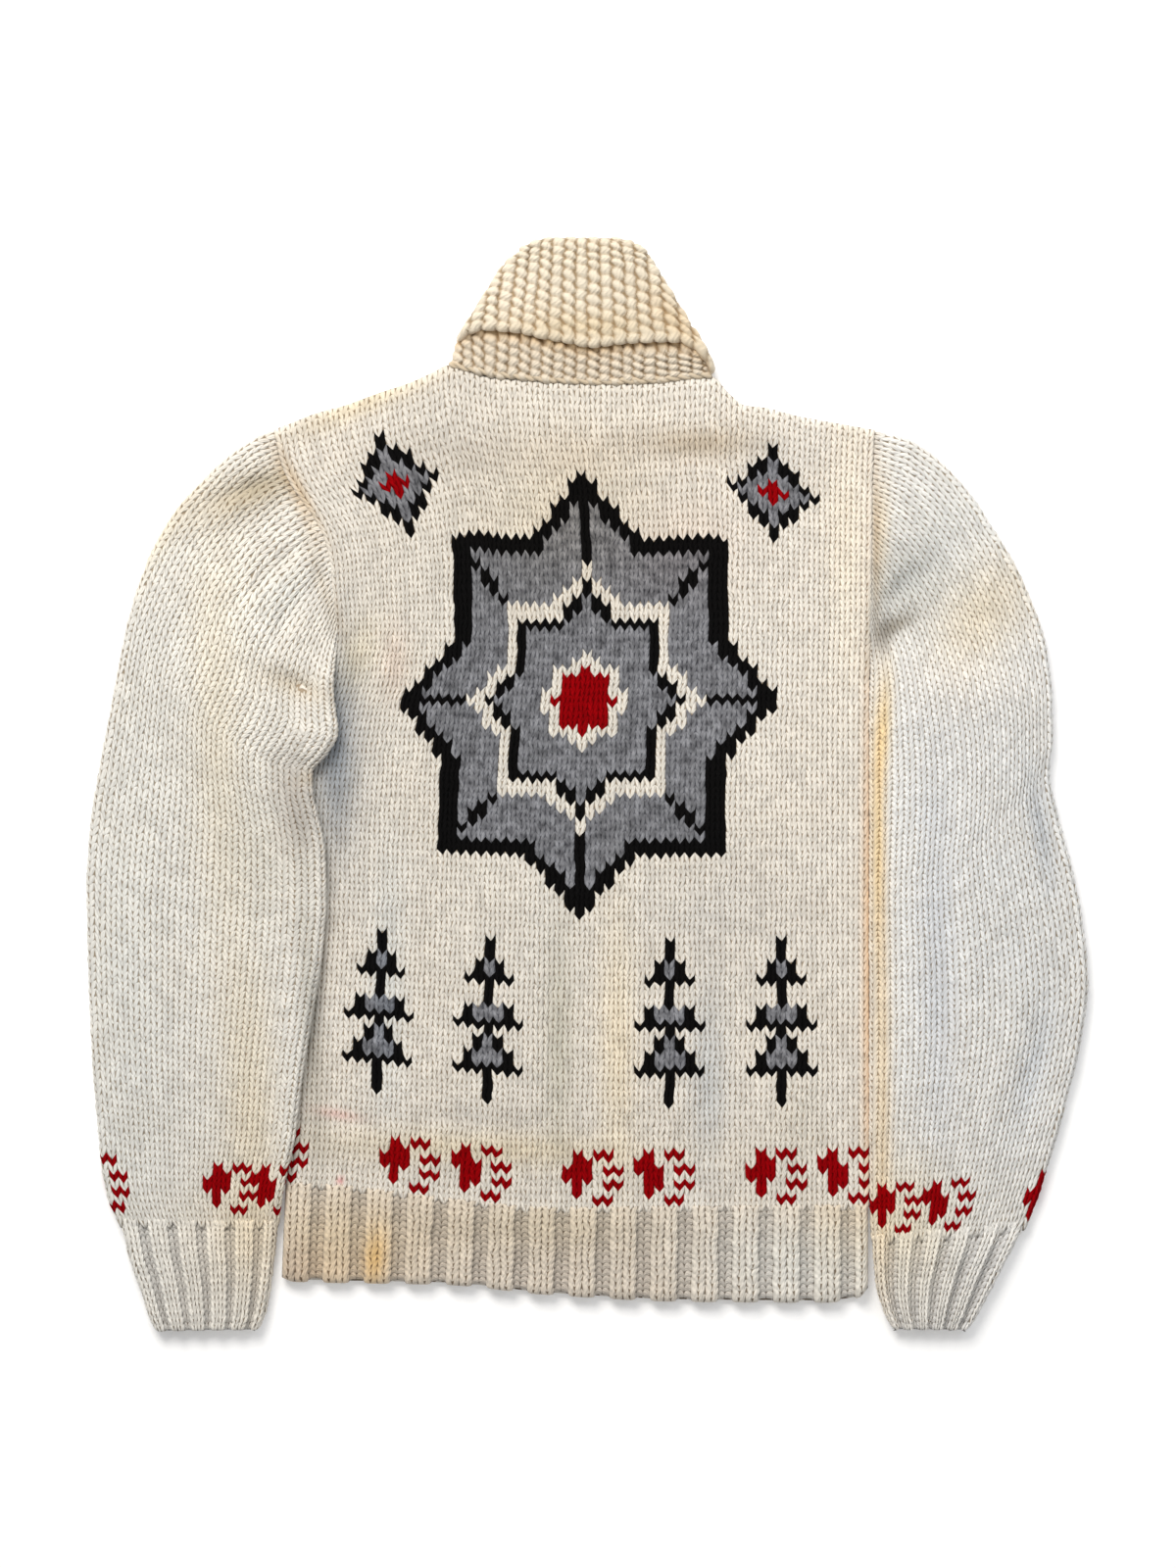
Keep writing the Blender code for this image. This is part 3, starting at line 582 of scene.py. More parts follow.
def backPlace(across, up):
    x, y = panelXY(across, np.minimum(up, 1))
    # The edge columns lap onto the sleeves, on the left only over the armhole.
    right, left = [np.maximum(part, 0) ** body["lapBend"]
                   for part in (2 * across - 1, 1 - 2 * across)]
    x = x + body["lap"] * (right - atArmhole(up) * left)
    lift = backLift(x, y, across, up)
    z = cloth + seamGap + lift + (cloth - body["skinDepth"]) * panelEdge(across, up)
    return np.stack([x, y, z], axis=2)


def backUnder(across, up):
    x, y = panelXY(across, np.clip(up, 0, 1))
    return cloth + seamGap + backLift(x, y, across, up)


def frontPlace(across, up):
    # The front lies face down, so its outside is underneath and its left side comes last.
    x, y = panelXY(1 - across, np.clip(up, 0, 1))
    z = cloth - (cloth - body["frontSkin"]) * panelEdge(1 - across, up)
    return np.stack([x, y, z], axis=2)


# Motifs: yarn 0 is cream, 1 grey, 2 black and 3 red

pawCharts = (
    (".#.##.", ".##...", "###.##", "###...", ".#..##", ".#....", "...##."),
    (".#.##.", "##....", "###.##", ".##...", ".##.##", ".#....", "...##."),
)
motif = {
    "stitchWidth": 6.95, "rowHeight": 4.87, "star": (28, 67), "ray": 4.0, "rayFrom": 60.0,
    "starRings": ((98.0, 2), (89.0, 1), (60.0, 0), (52.0, 2), (45.0, 1), (24.0, 0),
                  (15.0, 3)),
    "diamonds": ((9, 95), (47, 95)), "diamondRings": ((30.0, 2), (21.0, 1), (7.5, 3)),
    "trees": ((8, 14), (19, 14), (37, 14), (48, 14)), "treeRows": 18, "trunkRows": 4,
    "tierRows": 6, "treeHalf": 3, "taperRows": 9,
    "pawStep": 7, "backPaws": ((-11, 1), (9, 1), (27, 1), (45, 1)),
}


def plainChart(rows, columns):
    return np.zeros((rows, columns), int)


def stampPaws(chart, column, row, apart=motif["pawStep"]):
    # A pair of red paws; each small chart's first line is its top row.
    for paw, lines in enumerate(pawCharts):
        for down, line in enumerate(lines):
            for step, mark in enumerate(line):
                c = (column + paw * apart + step) % chart.shape[1]
                if mark == "#":
                    chart[row + len(lines) - 1 - down, c] = 3


def awayFrom(chart, column, row):
    r, c = np.indices(chart.shape)
    return np.abs(c - column) * motif["stitchWidth"], np.abs(r - row) * motif["rowHeight"]


def drawRings(chart, reach, rings):
    # Each ring is how far it reaches and its yarn.
    for size, yarn in rings:
        chart[reach < size] = yarn


def drawStar(chart, column, row):
    # An eight-pointed star in rings, with black rays over its outer grey.
    x, y = awayFrom(chart, column, row)
    reach = np.minimum(np.maximum(x, y), (x + y) / math.sqrt(2))
    drawRings(chart, reach, motif["starRings"])
    grey = (reach < motif["starRings"][1][0]) & (reach > motif["rayFrom"])
    onRay = (np.minimum(x, y) < motif["ray"] / 2) | (np.abs(x - y) < motif["ray"])
    chart[grey & onRay] = 2


def drawTree(chart, column, row):
    # A small fir in three tiers on a black trunk.
    chart[row:row + motif["trunkRows"], column] = 2
    for up in range(motif["treeRows"]):
        tier = up % motif["tierRows"]
        half = max(0, motif["treeHalf"] - (tier + 1) // 2 - up // motif["taperRows"])
        for step in range(-half, half + 1):
            black = tier == 0 or abs(step) == half
            chart[row + motif["trunkRows"] + up, column + step] = 2 if black else 1


def backChart(rows, columns):
    chart = plainChart(rows, columns)
    drawStar(chart, *motif["star"])
    for column, row in motif["trees"]:
        drawTree(chart, column, row)
    for column, row in motif["diamonds"]:
        drawRings(chart, sum(awayFrom(chart, column, row)), motif["diamondRings"])
    # The first and last pairs run into the side seams and are cut off there.
    wide = plainChart(rows, columns + 2 * motif["pawStep"])
    for column, row in motif["backPaws"]:
        stampPaws(wide, column, row)
    return np.where(wide[:, :columns] > 0, wide[:, :columns], chart)


# Stains and warm or cool patches, and painted shade and light: shadows along the left sleeve's
# edge and between the body and the right sleeve, shade in the armhole creases and in the
# folds' hollows, and lighter ridges.
bodyStainsShadeAndLight = (
    (0.3, 223.4, 132, 15.8, 0, (0.935, 0.916, 0.898)),
    (92.7, -85.5, 59.4, 39.6, 0, (0.898, 0.907, 0.925)),
    (-193.7, 198.3, 34.3, 4, -63, (0.8, 0.69, 0.55)),
    (-174.6, 132.3, 39.6, 4, -72, (0.871, 0.819, 0.751)),
    (-52.5, 132.3, 396, 171.6, 90, (0.87, 0.875, 0.875)),
    (-16.2, 185.1, 59.4, 52.8, 0, (0.972, 0.925, 0.836)),
    (76.9, 230, 39.6, 10.6, 0, (0.853, 0.784, 0.686)),
    (175.9, 158.7, 85.8, 14.5, 90, (1.117, 1.087, 1.019)),
    (191.1, 111.2, 36.3, 4, 88, (0.751, 0.801, 0.836)),
    (189.8, -118.5, 191.4, 4.6, 90, (0.962, 0.686, 0.454)),
    (-19.5, -174.6, 72.6, 10.6, 90, (0.784, 0.793, 0.751)),
    (20.1, -177.9, 85.8, 11.9, 90, (1.097, 1.038, 0.907)),
    (81.5, -197.7, 62.7, 13.2, 90, (0.784, 0.836, 0.907)),
    (140.2, -224.1, 39.6, 16.5, 90, (0.92, 0.92, 0.9)),
    (-72.3, -245.2, 112.2, 11.9, -2, (0.871, 0.819, 0.702)),
    (-133.7, -131.7, 79.2, 11.9, 90, (0.907, 0.962, 1.019)),
    (-169.3, 23.4, 75.9, 17.2, 90, (0.40, 0.46, 0.56)),
    (-185.8, -171.3, 99, 9.2, 93, (0.718, 0.718, 0.702)),
    (-154.8, 87.5, 23.1, 13.2, 70, (1.019, 0.981, 0.871)),
    (-129.7, 82.8, 23.1, 9.2, 90, (1.019, 0.935, 0.898)),
    (-168, -222.1, 14.5, 3.3, -10, (1.058, 0.819, 0.819)),
    (-166.7, -267, 2.6, 2.6, 0, (1, 0.55, 0.6)),
    (66.3, 158.7, 39.6, 29.7, 20, (0.981, 0.925, 0.907)),
    (-98.7, 226, 30, 18, 0, (0.87, 0.87, 0.87)),
    (122, 222, 34, 16, 0, (0.88, 0.9, 0.93)),
    (-150, 258, 50, 9, 24, (1, 0.93, 0.78)),
    (0, -20, 200, 260, 90, (1.03, 1.04, 1.045)),
)
panelCut = {"flat": (0.404, 0.555), "held": "laid", "area": 0.215}
panelColumns = [("knit", 1.0)] * body["columns"]
back = knit("knitted_back", panelColumns, body["rows"], backPlace, motifYarns, backChart,
            seed=3, sideFade=1.2, fades=(False, True), under=backUnder, tints=bodyStainsShadeAndLight)
finishPiece(back, "back", "cream_wool", rests_on=["knitted_front"], **panelCut)
front = knit("knitted_front", panelColumns, body["rows"], frontPlace, motifYarns, plainChart,
             seed=5, relief=0.7, tuck=0.4, under=cloth)
finishPiece(front, "front", "cream_wool", **panelCut)


# Ribbed hem

hemRib = {"ribs": 14, "rows": 14, "relief": 1.7, "ridge": 3.9, "knitWidth": 9.2,
          "purlWidth": 4.8, "lap": 3.2, "tuckDown": 0.5, "tuckFrom": 0.86, "topLevel": 0.45,
          "topReach": 1.06, "topGrowth": 4.0, "scallop": 2.6, "scallopWithin": 0.2,
          "skinDepth": 1.9, "length": 56.0}


def ribColumns(ribs, knitWidth, purlWidth):
    return ([("knit", knitWidth)] * 2 + [("purl", purlWidth)] * 2) * ribs


def ridgeProfile(columns):
    # Height of the rib over the width: raised over each knit pair.
    total = sum(width for _, width in columns)
    places = []
    heights = []
    x = 0.0
    for kind, width in columns:
        for w in np.linspace(0.05, 0.95, 7):
            places.append((x + w * width) / total)
            heights.append(1.0 if kind == "knit" else 0.0)
        x += width
    spread = np.linspace(0, 1, 2000)
    raw = np.interp(spread, places, heights)
    kernel = np.hanning(25)
    return spread, np.convolve(np.pad(raw, 12, mode="edge"), kernel / kernel.sum(), "valid")


def ribHeight(ridge, up):
    # The ribs begin at a middling height, where they hang from the plain knitting.
    grown = np.clip((hemRib["topReach"] - up) * hemRib["topGrowth"], 0, 1)
    return lerp(hemRib["topLevel"], ridge, grown)


hemColumns = ribColumns(hemRib["ribs"], hemRib["knitWidth"], hemRib["purlWidth"])
hemColumns.append(("knit", hemRib["knitWidth"]))
hemProfile = ridgeProfile(hemColumns)


def hemXY(across, up, lap=-seamGap):
    down = 1 - up
    startX = lerp(ribLine[0][0], ribLine[-1][0], across)
    startY = along(ribLine, startX) + lap
    x = lerp(lerp(ribLine[0][0], hemLine[0][0], down),
             lerp(ribLine[-1][0], hemLine[-1][0], down), across)
    return x, lerp(startY, along(hemLine, x), down)


def hemFullness(across, up):
    side = np.minimum(across, 1 - across) * panelWidth
    return roundEdge(np.minimum(side, up * hemRib["length"]) + cutEdge, cloth)


def backHemPlace(across, up):
    x, y = hemXY(across, np.clip(up, 0, 1), hemRib["lap"])
    ridge = np.interp(across, *hemProfile)
    # The cast-off edge dips under each ridge.
    dip = np.clip(1 - up / hemRib["scallopWithin"], 0, 1)
    y = y - hemRib["scallop"] * (ridge - 0.5) * dip
    tucked = hemRib["tuckDown"] * ease((up - hemRib["tuckFrom"]) / (1 - hemRib["tuckFrom"]))
    rise = cloth - hemRib["skinDepth"] + hemRib["ridge"] * ribHeight(ridge, up) - tucked
    return np.stack([x, y, cloth + seamGap + rise * hemFullness(across, up)], axis=2)


def frontHemPlace(across, up):
    x, y = hemXY(1 - across, np.clip(up, 0, 1))
    z = cloth - (cloth - body["frontSkin"]) * hemFullness(across, up)
    return np.stack([x, y, z], axis=2)


def ribChart(rows, columns):
    # Material 1 is the purl side of the wool, in a darker, cooler copy of the rib's cream:
    # painted shade between the ribs.
    return np.tile((np.arange(columns) % 4 > 1).astype(int), (rows, 1))


# Golden stains and warm patches; painted shade makes the ribbing darker overall, as the light
# falls from the top, and a cooler, lighter patch sits to the right.
hemStainsShadeAndLight = (
    (-6.3, -309.9, 594, 198, 0, (0.84, 0.795, 0.745)),
    (-142.9, -318.4, 19.8, 7.9, 84, (1.058, 0.853, 0.508)),
    (-164.7, -304.6, 56.1, 29.7, 0, (1, 0.935, 0.801)),
    (-26.1, -296.7, 72.6, 18.5, 0, (0.925, 0.907, 0.836)),
    (-197.7, -323.1, 11.9, 19.8, 0, (0.819, 0.819, 0.853)),
    (152.1, -319.8, 85.8, 39.6, 0, (1.097, 1.199, 1.304)),
    (180, -290, 34, 34, 0, (1, 0.93, 0.82)),
    (-184, -330, 40, 20, 0, (1, 0.92, 0.82)),
)
hemCut = {"flat": (0.395, 0.060), "held": "laid"}
backHem = knit("back_hem_ribbing", hemColumns, hemRib["rows"], backHemPlace, ribYarns,
               ribChart, seed=7, relief=hemRib["relief"], fades=(True, False),
               tints=hemStainsShadeAndLight, under=cloth + seamGap, **ribbed)
finishPiece(backHem, "back_hem_rib", "rib_wool", rests_on=["front_hem_ribbing"], **hemCut)
frontHem = knit("front_hem_ribbing", hemColumns, hemRib["rows"], frontHemPlace, ribYarns,
                ribChart, seed=8, relief=0.7, under=cloth, **ribbed)
finishPiece(frontHem, "front_hem_rib", "rib_wool", **hemCut)


# Sleeves and cuffs: flattened tubes; rows are outer x, outer y, inner x, inner y, puff

tube = {"columnsRound": 40, "rows": 104, "skin": 1.3, "puff": 3.4, "swell": 3.2,
        "swellShape": 1.3, "evenness": 0.8, "rowCurl": 2.0, "curlWithin": 0.14,
        "bendRows": 6.0, "foldGrowth": 3, "overlapHeight": 10.3, "overlapSpan": 18.0,
        "overlapTop": (102.0, 40.0), "overlapEnd": (-312.0, 44.0)}   # y, and how it fades
ribbedCuff = {"rows": 16, "ribs": 11, "knitWidth": 6.6, "purlWidth": 3.6, "ridge": 3.3,
              "relief": 1.5, "thick": 3.6}


def supportLeft(x, y):
    # What the left sleeve lies on: the table, or the body where it overlaps it.
    (topY, topFade), (endY, endFade) = tube["overlapTop"], tube["overlapEnd"]
    climb = ease((x - along(leftSide, y) + tube["overlapSpan"]) / tube["overlapSpan"])
    return (tube["overlapHeight"] * climb * ease((topY - y) / topFade)
            * ease((y - endY) / endFade))


def supportRight(x, y):
    return np.zeros(np.broadcast(x, y).shape)


# Warm or cool patches, and painted shade and light: shade in the armhole seam and creases,
# shadows in the notch and along the edge that lies on the body, a cooler outer side, and a
# lighter ridge.
leftStainsShadeAndLight = (
    (-222.8, -42.6, 49.5, 21.1, 100, (0.889, 0.889, 0.871)),
    (-197, 197, 37, 4.6, -63, (0.84, 0.73, 0.6)),
    (-177.9, 132.3, 39.6, 4, -72, (0.853, 0.819, 0.768)),
    (-280.2, -65.7, 462, 198, 90, (0.92, 0.96, 1)),
    (-222.8, 198.3, 40.9, 14.2, 24, (0.6, 0.54, 0.43)),
    (-240.6, 105.9, 85.8, 29.7, 90, (1.077, 1.068, 1.038)),
    (-249.2, 20.1, 138.6, 15.8, 92, (1, 0.962, 0.889)),
    (-313.2, -144.9, 217.8, 31.7, 88, (0.965, 0.985, 1)),
    (-303.3, 158.7, 59.4, 14.5, 55, (1.038, 0.962, 0.801)),
    (-227.4, -210.9, 99, 17.2, 92, (1, 0.944, 0.836)),
    (-195.7, 66.3, 26.4, 9.2, -20, (0.784, 0.734, 0.654)),
    (-203, 129, 22.4, 13.2, 45, (0.953, 0.981, 1)),
    (-182.5, 5.6, 11.9, 6.6, 20, (0.72, 0.66, 0.58)),
    (-195.7, -14.2, 34.4, 14.2, 100, (0.6, 0.58, 0.57)),
    (-185.8, -158.1, 112.2, 6.6, 93, (0.751, 0.751, 0.734)),
    (-228, -300, 34, 44, 0, (1.02, 0.95, 0.84)),
)
# Warm patches over the gathers, and painted shade and light: shade in the shoulder seam, the
# armpit dimple and the folds' hollows, a shadow line along the edge by the body, a cooler
# sleeve overall, and a lighter ridge.
rightStainsShadeAndLight = (
    (194.4, 171.9, 62.7, 2.6, 90, (0.751, 0.654, 0.536)),
    (257.7, -65.7, 462, 198, 90, (1, 1.07, 1.17)),
    (236, -125.1, 125.4, 13.2, 91, (0.853, 0.88, 0.935)),
    (305.9, -32.7, 39.6, 7.9, 100, (0.751, 0.784, 0.836)),
    (215.5, 137.6, 40.9, 23.8, 55, (0.718, 0.734, 0.734)),
    (199.7, 98, 13.2, 5.9, 78, (0.62, 0.6, 0.58)),
    (207.6, 107.2, 13.2, 5.9, 25, (0.594, 0.55, 0.481)),
    (198.3, 171.9, 39.6, 5.3, 88, (1, 0.907, 0.768)),
    (264.3, 115.2, 43.6, 26.4, 50, (1, 0.916, 0.776)),
    (247.8, 66.3, 39.6, 21.1, 0, (1.097, 1.077, 1.058)),
    (294, -105.3, 85.8, 39.6, 90, (0.907, 0.916, 0.925)),
    (301.9, -186.5, 39.6, 9.2, 75, (0.871, 0.907, 0.962)),
    (198.3, -197.7, 145.2, 6.6, 90, (1, 0.853, 0.654)),
    (199, 36.6, 39.6, 5.3, 86, (1.058, 0.871, 0.564)),
    (195.7, -39.3, 85.8, 4.6, 90, (1, 0.819, 0.536)),
    (214, -296, 34, 44, 0, (1.02, 0.94, 0.79)),
)
leftSleeve = {
    "support": supportLeft, "armhole": (leftSide, armpitLeftY), "tints": leftStainsShadeAndLight,
    "paws": ((11, 2, 5), (-10, 2, 7)), "seed": 11, "cuffSeed": 17, "otherWay": False,
    "sections": (
        (-211.4, 239.2, -168.5, 104, -0.3), (-222.8, 234.6, -169.3, 96, 0.1),
        (-242.6, 221.4, -169.6, 87.5, 0.4), (-261.7, 202.3, -170, 78.2, 0.7),
        (-278.2, 183.8, -170.6, 67.7, 0.9), (-293.4, 157.4, -169.3, 51.8, 1),
        (-303.9, 130.3, -167.3, 35.3, 1), (-311.2, 102.6, -175.2, 20.1, 1),
        (-317.1, 72.9, -184.5, 8.2, 1), (-324.4, 36.6, -183.8, -7.6, 1),
        (-331, 0.3, -179.2, -27.4, 1), (-335.6, -32.7, -175.9, -47.2, 1),
        (-337.6, -69, -175.2, -77.5, 1), (-336.9, -108.6, -177.9, -111.9, 1),
        (-335.6, -151.5, -183.8, -151.5, 0.9), (-333, -197.7, -191.7, -197.7, 0.8),
        (-329.7, -237.3, -196.4, -237.3, 0.6), (-325.7, -271.6, -203.6, -268.9, 0.4),
        (-316.5, -297, -208.2, -298, 0.2),
    ),
    "cuff": (
        (-315.9, -292.5, -208.6, -293.5, -0.1), (-309.2, -319.8, -210.9, -319.8, 0.2),
        (-303.3, -336.3, -212.9, -334.9, 0.2), (-296.7, -357, -216.8, -356.1, 0.2),
        (-292, -368.2, -221, -367.2, 0.1),
    ),
    "folds": (
        (-218.8, 203.6, 40, 6, 22, -4.5), (-223, 190, 44, 8, 24, 2.8),
        (-206, 150, 40, 6, 42, -3.4), (-198, 118, 40, 6, 56, -2.8),
        (-240.6, 106, 80, 30, 88, 4.2), (-193, 66, 26, 7, -20, -3.6),
        (-190, 10, 20, 12, 10, -3.4), (-262, -60, 130, 16, 86, -2.5),
        (-300, -120, 120, 14, 88, 2), (-214, -190, 90, 10, 92, -2),
    ),
}
rightSleeve = {
    "support": supportRight, "armhole": (rightSide, armpitRightY), "tints": rightStainsShadeAndLight,
    "paws": ((0, 1, 6), (18, 0, 7)), "seed": 13, "cuffSeed": 19, "otherWay": True,
    "sections": (
        (193.7, 239.2, 191.3, 105.9, -0.3), (214.8, 233.3, 191.1, 96, 0.1),
        (236, 219.5, 190.7, 84.8, 0.4), (254.4, 200.3, 190.4, 71.6, 0.7),
        (270.9, 176.6, 190.1, 58.4, 0.9), (286.1, 151.5, 189.8, 44.6, 1),
        (298.7, 124.4, 189.8, 28.7, 1), (307.9, 96, 189.8, 11.6, 1),
        (312.5, 64.4, 189.8, -6.3, 1), (313.2, 33.3, 189.8, -26.1, 1),
        (311.2, 9.6, 189.8, -44.6, 1), (317.8, -23.4, 189.8, -69, 1),
        (326.4, -55.1, 189.8, -95.4, 1), (333.6, -90.8, 189.8, -121.8, 1),
        (337.6, -131.7, 189.8, -151.5, 1), (333, -171.3, 189.8, -184.5, 0.9),
        (323.7, -210.9, 189.8, -217.5, 0.7), (311.9, -253.8, 189.8, -257.1, 0.4),
        (296.7, -297.5, 191.2, -307, 0.2),
    ),
    "cuff": (
        (296.5, -294, 191.5, -303.5, -0.1), (284.1, -318.4, 192.4, -319.1, 0.2),
        (276.2, -333, 193.7, -333.6, 0.2), (265.7, -352.8, 197.7, -350.8, 0.2),
        (257, -367.4, 205, -367, 0.1),
    ),
    "folds": (
        (203, 101, 24, 9, 22, -3.4), (214.8, 133.7, 28, 8, 40, -4.2),
        (247.8, 66.3, 42, 26, 0, 3.9), (274.2, 105.9, 30, 9, -56, -1.7),
        (236, -125, 125, 11, 91, -3.6), (256, -120, 120, 10, 91, 2),
        (306, -32.7, 46, 8, 100, -3.6), (300, -186.5, 46, 9, 76, -2.8),
        (278, -205, 70, 9, 80, 1.7), (203, 218, 15, 4, 8, -2.5),
        (203, 187, 15, 4, 6, -2.5), (202, 157, 14, 4, 0, -2.5),
    ),
}


def armholeBend(side, armpitY):
    steps = np.linspace(0, 1, 29)
    edge = along(side, lerp(topEdge[0][1], armpitY, steps))
    return steps, edge - lerp(edge[0], edge[-1], steps)


def tubePlace(sections, folds, rise, bend=None, ribbing=None):
    # Points round a flattened tube: across runs over its top from the outer side, then back.
    # Rows are evenly spaced along the outer side and nearly so along the inner one.
    knots = list(range(len(sections)))
    dense = np.linspace(0, knots[-1], 400)
    lines = list(zip(*sections))
    inset = tube["skin"]

    def evenly(lineX, lineY, share):
        steps = np.hypot(np.diff(smoothThrough(knots, lineX, dense)),
                         np.diff(smoothThrough(knots, lineY, dense)))
        travel = np.concatenate([[0.0], np.cumsum(steps)])
        return np.interp(share, travel / travel[-1], dense)

    def alongTube(down):
        return (evenly(lines[0], lines[1], down),
                evenly(lines[2], lines[3], lerp(down * down, down, tube["evenness"])))

    def at(column, place):
        return smoothThrough(knots, lines[column], place)

    def curlOf(down):
        return lerp(1.0, tube["rowCurl"], ease(down / tube["curlWithin"]))

    # Rows meet the inner side squarely, but at the armhole they follow the seam. Stitches
    # are equally wide along each row, so where a row crosses is found from its length.
    downs = np.linspace(0, 1, 81)
    crossings = np.linspace(0, 1, 61)
    outerAt, innerAt = alongTube(downs)
    acrossX = at(2, innerAt) - at(0, outerAt)
    acrossY = at(3, innerAt) - at(1, outerAt)
    table = []
    for alongX, alongY, curl in zip(acrossX, acrossY, curlOf(downs)):
        legs = np.hypot(np.diff(alongX * crossings), np.diff(alongY * crossings ** curl))
        travel = np.concatenate([[0.0], np.cumsum(legs)])
        table.append(np.interp(crossings, travel / travel[-1], crossings))
    table = np.array(table)

    def crossing(down, share):
        i = down * (len(downs) - 1)
        j = np.clip(share, 0, 1) * (len(crossings) - 1)
        i0 = np.minimum(i.astype(int), len(downs) - 2)
        j0 = np.minimum(j.astype(int), len(crossings) - 2)
        near = lerp(table[i0, j0], table[i0, j0 + 1], j - j0)
        far = lerp(table[i0 + 1, j0], table[i0 + 1, j0 + 1], j - j0)
        return lerp(near, far, i - i0)

    def place(across, up):
        down = 1 - np.clip(up, 0, 1)
        outerAt, innerAt = alongTube(down)
        puff = at(4, outerAt)
        # The last rows may reach on past the end of the tube.
        beyond = np.maximum(-up, 0) * (len(sections) - 1)
        outerX, outerY, innerX, innerY = [
            at(i, innerAt if i > 1 else outerAt) + (sections[-1][i] - sections[-2][i]) * beyond
            for i in range(4)]
        width = np.hypot(innerX - outerX, innerY - outerY)
        nominal = cloth + seamGap / 2 + tube["puff"] / 2 * puff - inset
        halfLoop = width - 2 * inset - 2 * nominal + math.pi * nominal
        top = across <= 0.5
        distance = np.where(top, across, 1 - across) * 2 * halfLoop
        fromEnd = np.minimum(distance, halfLoop - distance)
        turn = np.clip(fromEnd / nominal, 0, math.pi / 2)
        near = nominal * (1 - np.cos(turn)) + np.maximum(fromEnd - math.pi * nominal / 2, 0)
        spot = np.where(distance < halfLoop / 2, near, width - 2 * inset - near) + inset
        fromInner = crossing(down, 1 - spot / width)
        share = 1 - fromInner
        x = lerp(outerX, innerX, share)
        y = lerp(innerY, outerY, fromInner ** curlOf(down))
        if bend is not None:
            fade = np.clip(1 - outerAt / tube["bendRows"], 0, 1) ** 2
            x = x + np.interp(share, *bend) * fade
        swell = np.sin(np.pi * share) ** tube["swellShape"] * np.clip(puff, 0, 1)
        fold = softSpots(folds, x, y) * np.clip(puff * tube["foldGrowth"], 0, 1)
        half = nominal + np.where(top, fold + tube["swell"] * swell, 0.0)
        if ribbing is not None:
            rib = ribHeight(np.interp(across, *ribbing), up)
            half = half + rib * np.where(top, ribbedCuff["ridge"], 0.0)
        z = rise(x, y) + nominal + inset + np.where(top, 1.0, -1.0) * np.sin(turn) * half
        return np.stack([x, y, z], axis=2)
    return place


def otherWayRound(place):
    return lambda across, up: place(np.mod(0.5 - across, 1.0), up)


cuffColumns = ribColumns(ribbedCuff["ribs"], ribbedCuff["knitWidth"], ribbedCuff["purlWidth"])
for side, sleeve in (("left", leftSleeve), ("right", rightSleeve)):
    place = tubePlace(sleeve["sections"], sleeve["folds"], sleeve["support"],
                      bend=armholeBend(*sleeve["armhole"]))
    cuffPlace = tubePlace(sleeve["cuff"], (), sleeve["support"],
                          ribbing=ridgeProfile(cuffColumns))
    if sleeve["otherWay"]:
        # The right sleeve's outer side is on the right, so its columns run the other way.
        place, cuffPlace = otherWayRound(place), otherWayRound(cuffPlace)

    def sleeveChart(rows, columns):
        chart = plainChart(rows, columns)
        for column, row, apart in sleeve["paws"]:
            stampPaws(chart, column, row, apart)
        return chart

    piece = knit(f"{side}_knitted_sleeve", [("knit", 1.0)] * tube["columnsRound"],
                 tube["rows"], place, motifYarns, sleeveChart, wrap=True,
                 seed=sleeve["seed"], coarse=(5, 12), tints=sleeve["tints"],
                 fades=(False, True))
    finishPiece(piece, f"{side}_sleeve", "cream_wool", flat=(0.300, 0.560), held="laid",
                area=0.150)
    cuff = knit(f"{side}_ribbed_cuff", cuffColumns, ribbedCuff["rows"], cuffPlace, ribYarns,
                ribChart, wrap=True, seed=sleeve["cuffSeed"], relief=ribbedCuff["relief"],
                thick=ribbedCuff["thick"], fades=(True, False), tints=sleeve["tints"],
                **ribbed)
    finishPiece(cuff, f"{side}_cuff", "rib_wool", flat=(0.180, 0.070), held="laid")


# Collar: garter stitch, a stand folded over into a flap, all round the neck

collar = {
    "wall": 4.2, "gap": 0.5, "slack": 0.4, "skin": 1.2, "standSkin": 1.0,
    "cornerDrop": 6.0, "cornerReach": 16.0, "points": 300, "pointsDown": 6,
    "foldLeft": (-40.0, 368.2), "foldRight": (35.0, 367.7),
    "slope": ((-60.0, 347.0), (49.0, 344.0)), "stand": ((-86.5, 305.0), (81.0, 289.0)),
    "neck": ((-92.7, 283.2), (84.2, 275.3)),
    "flapEdge": (
        (-88.5, 301.0), (-84.0, 305.0), (-72.3, 308.6), (-47.2, 306.6), (-28.7, 302.6),
        (-10.9, 299.3), (2.3, 297.0), (22.8, 299.3), (42.9, 300.6), (63.0, 300.6),
        (73.6, 296.3), (83.3, 286.8), (86.0, 279.5),
    ),
    "flapStitches": 11, "edgeStitch": 10.6, "standStitch": 12.0, "standFade": 1.5,
    "crowding": 0.35,        # how far its points crowd towards the two sides
}
garter = {"ridgeAtFold": 7.6, "ridgeAtEdge": 8.9, "ridgeOnStand": 7.7, "lean": -0.3,
          "wave": 0.07, "bump": 2.8, "grooveShade": (0.46, 0.37, 0.27),
          "standTint": (0.955, 0.945, 0.955), "lipLight": (1.12, 1.0, 0.86),
          "shadeFrom": 1.5, "shadeReach": 6.0, "shadeTint": (0.86, 0.68, 0.44),
          "ridgeShape": (3.0, 1.12), "bumpShape": (2.2, 0.9), "domeShape": (0.85, 0.75),
          "plump": (0.85, 1.12), "wanderCell": 12.0, "wander": (0.12, 0.15),
          "lip": (9.7, 0.3, 10.9, 0.2), "face": (10.3, 0.25), "sideGrowth": 24,
          "sideHeight": 0.45}
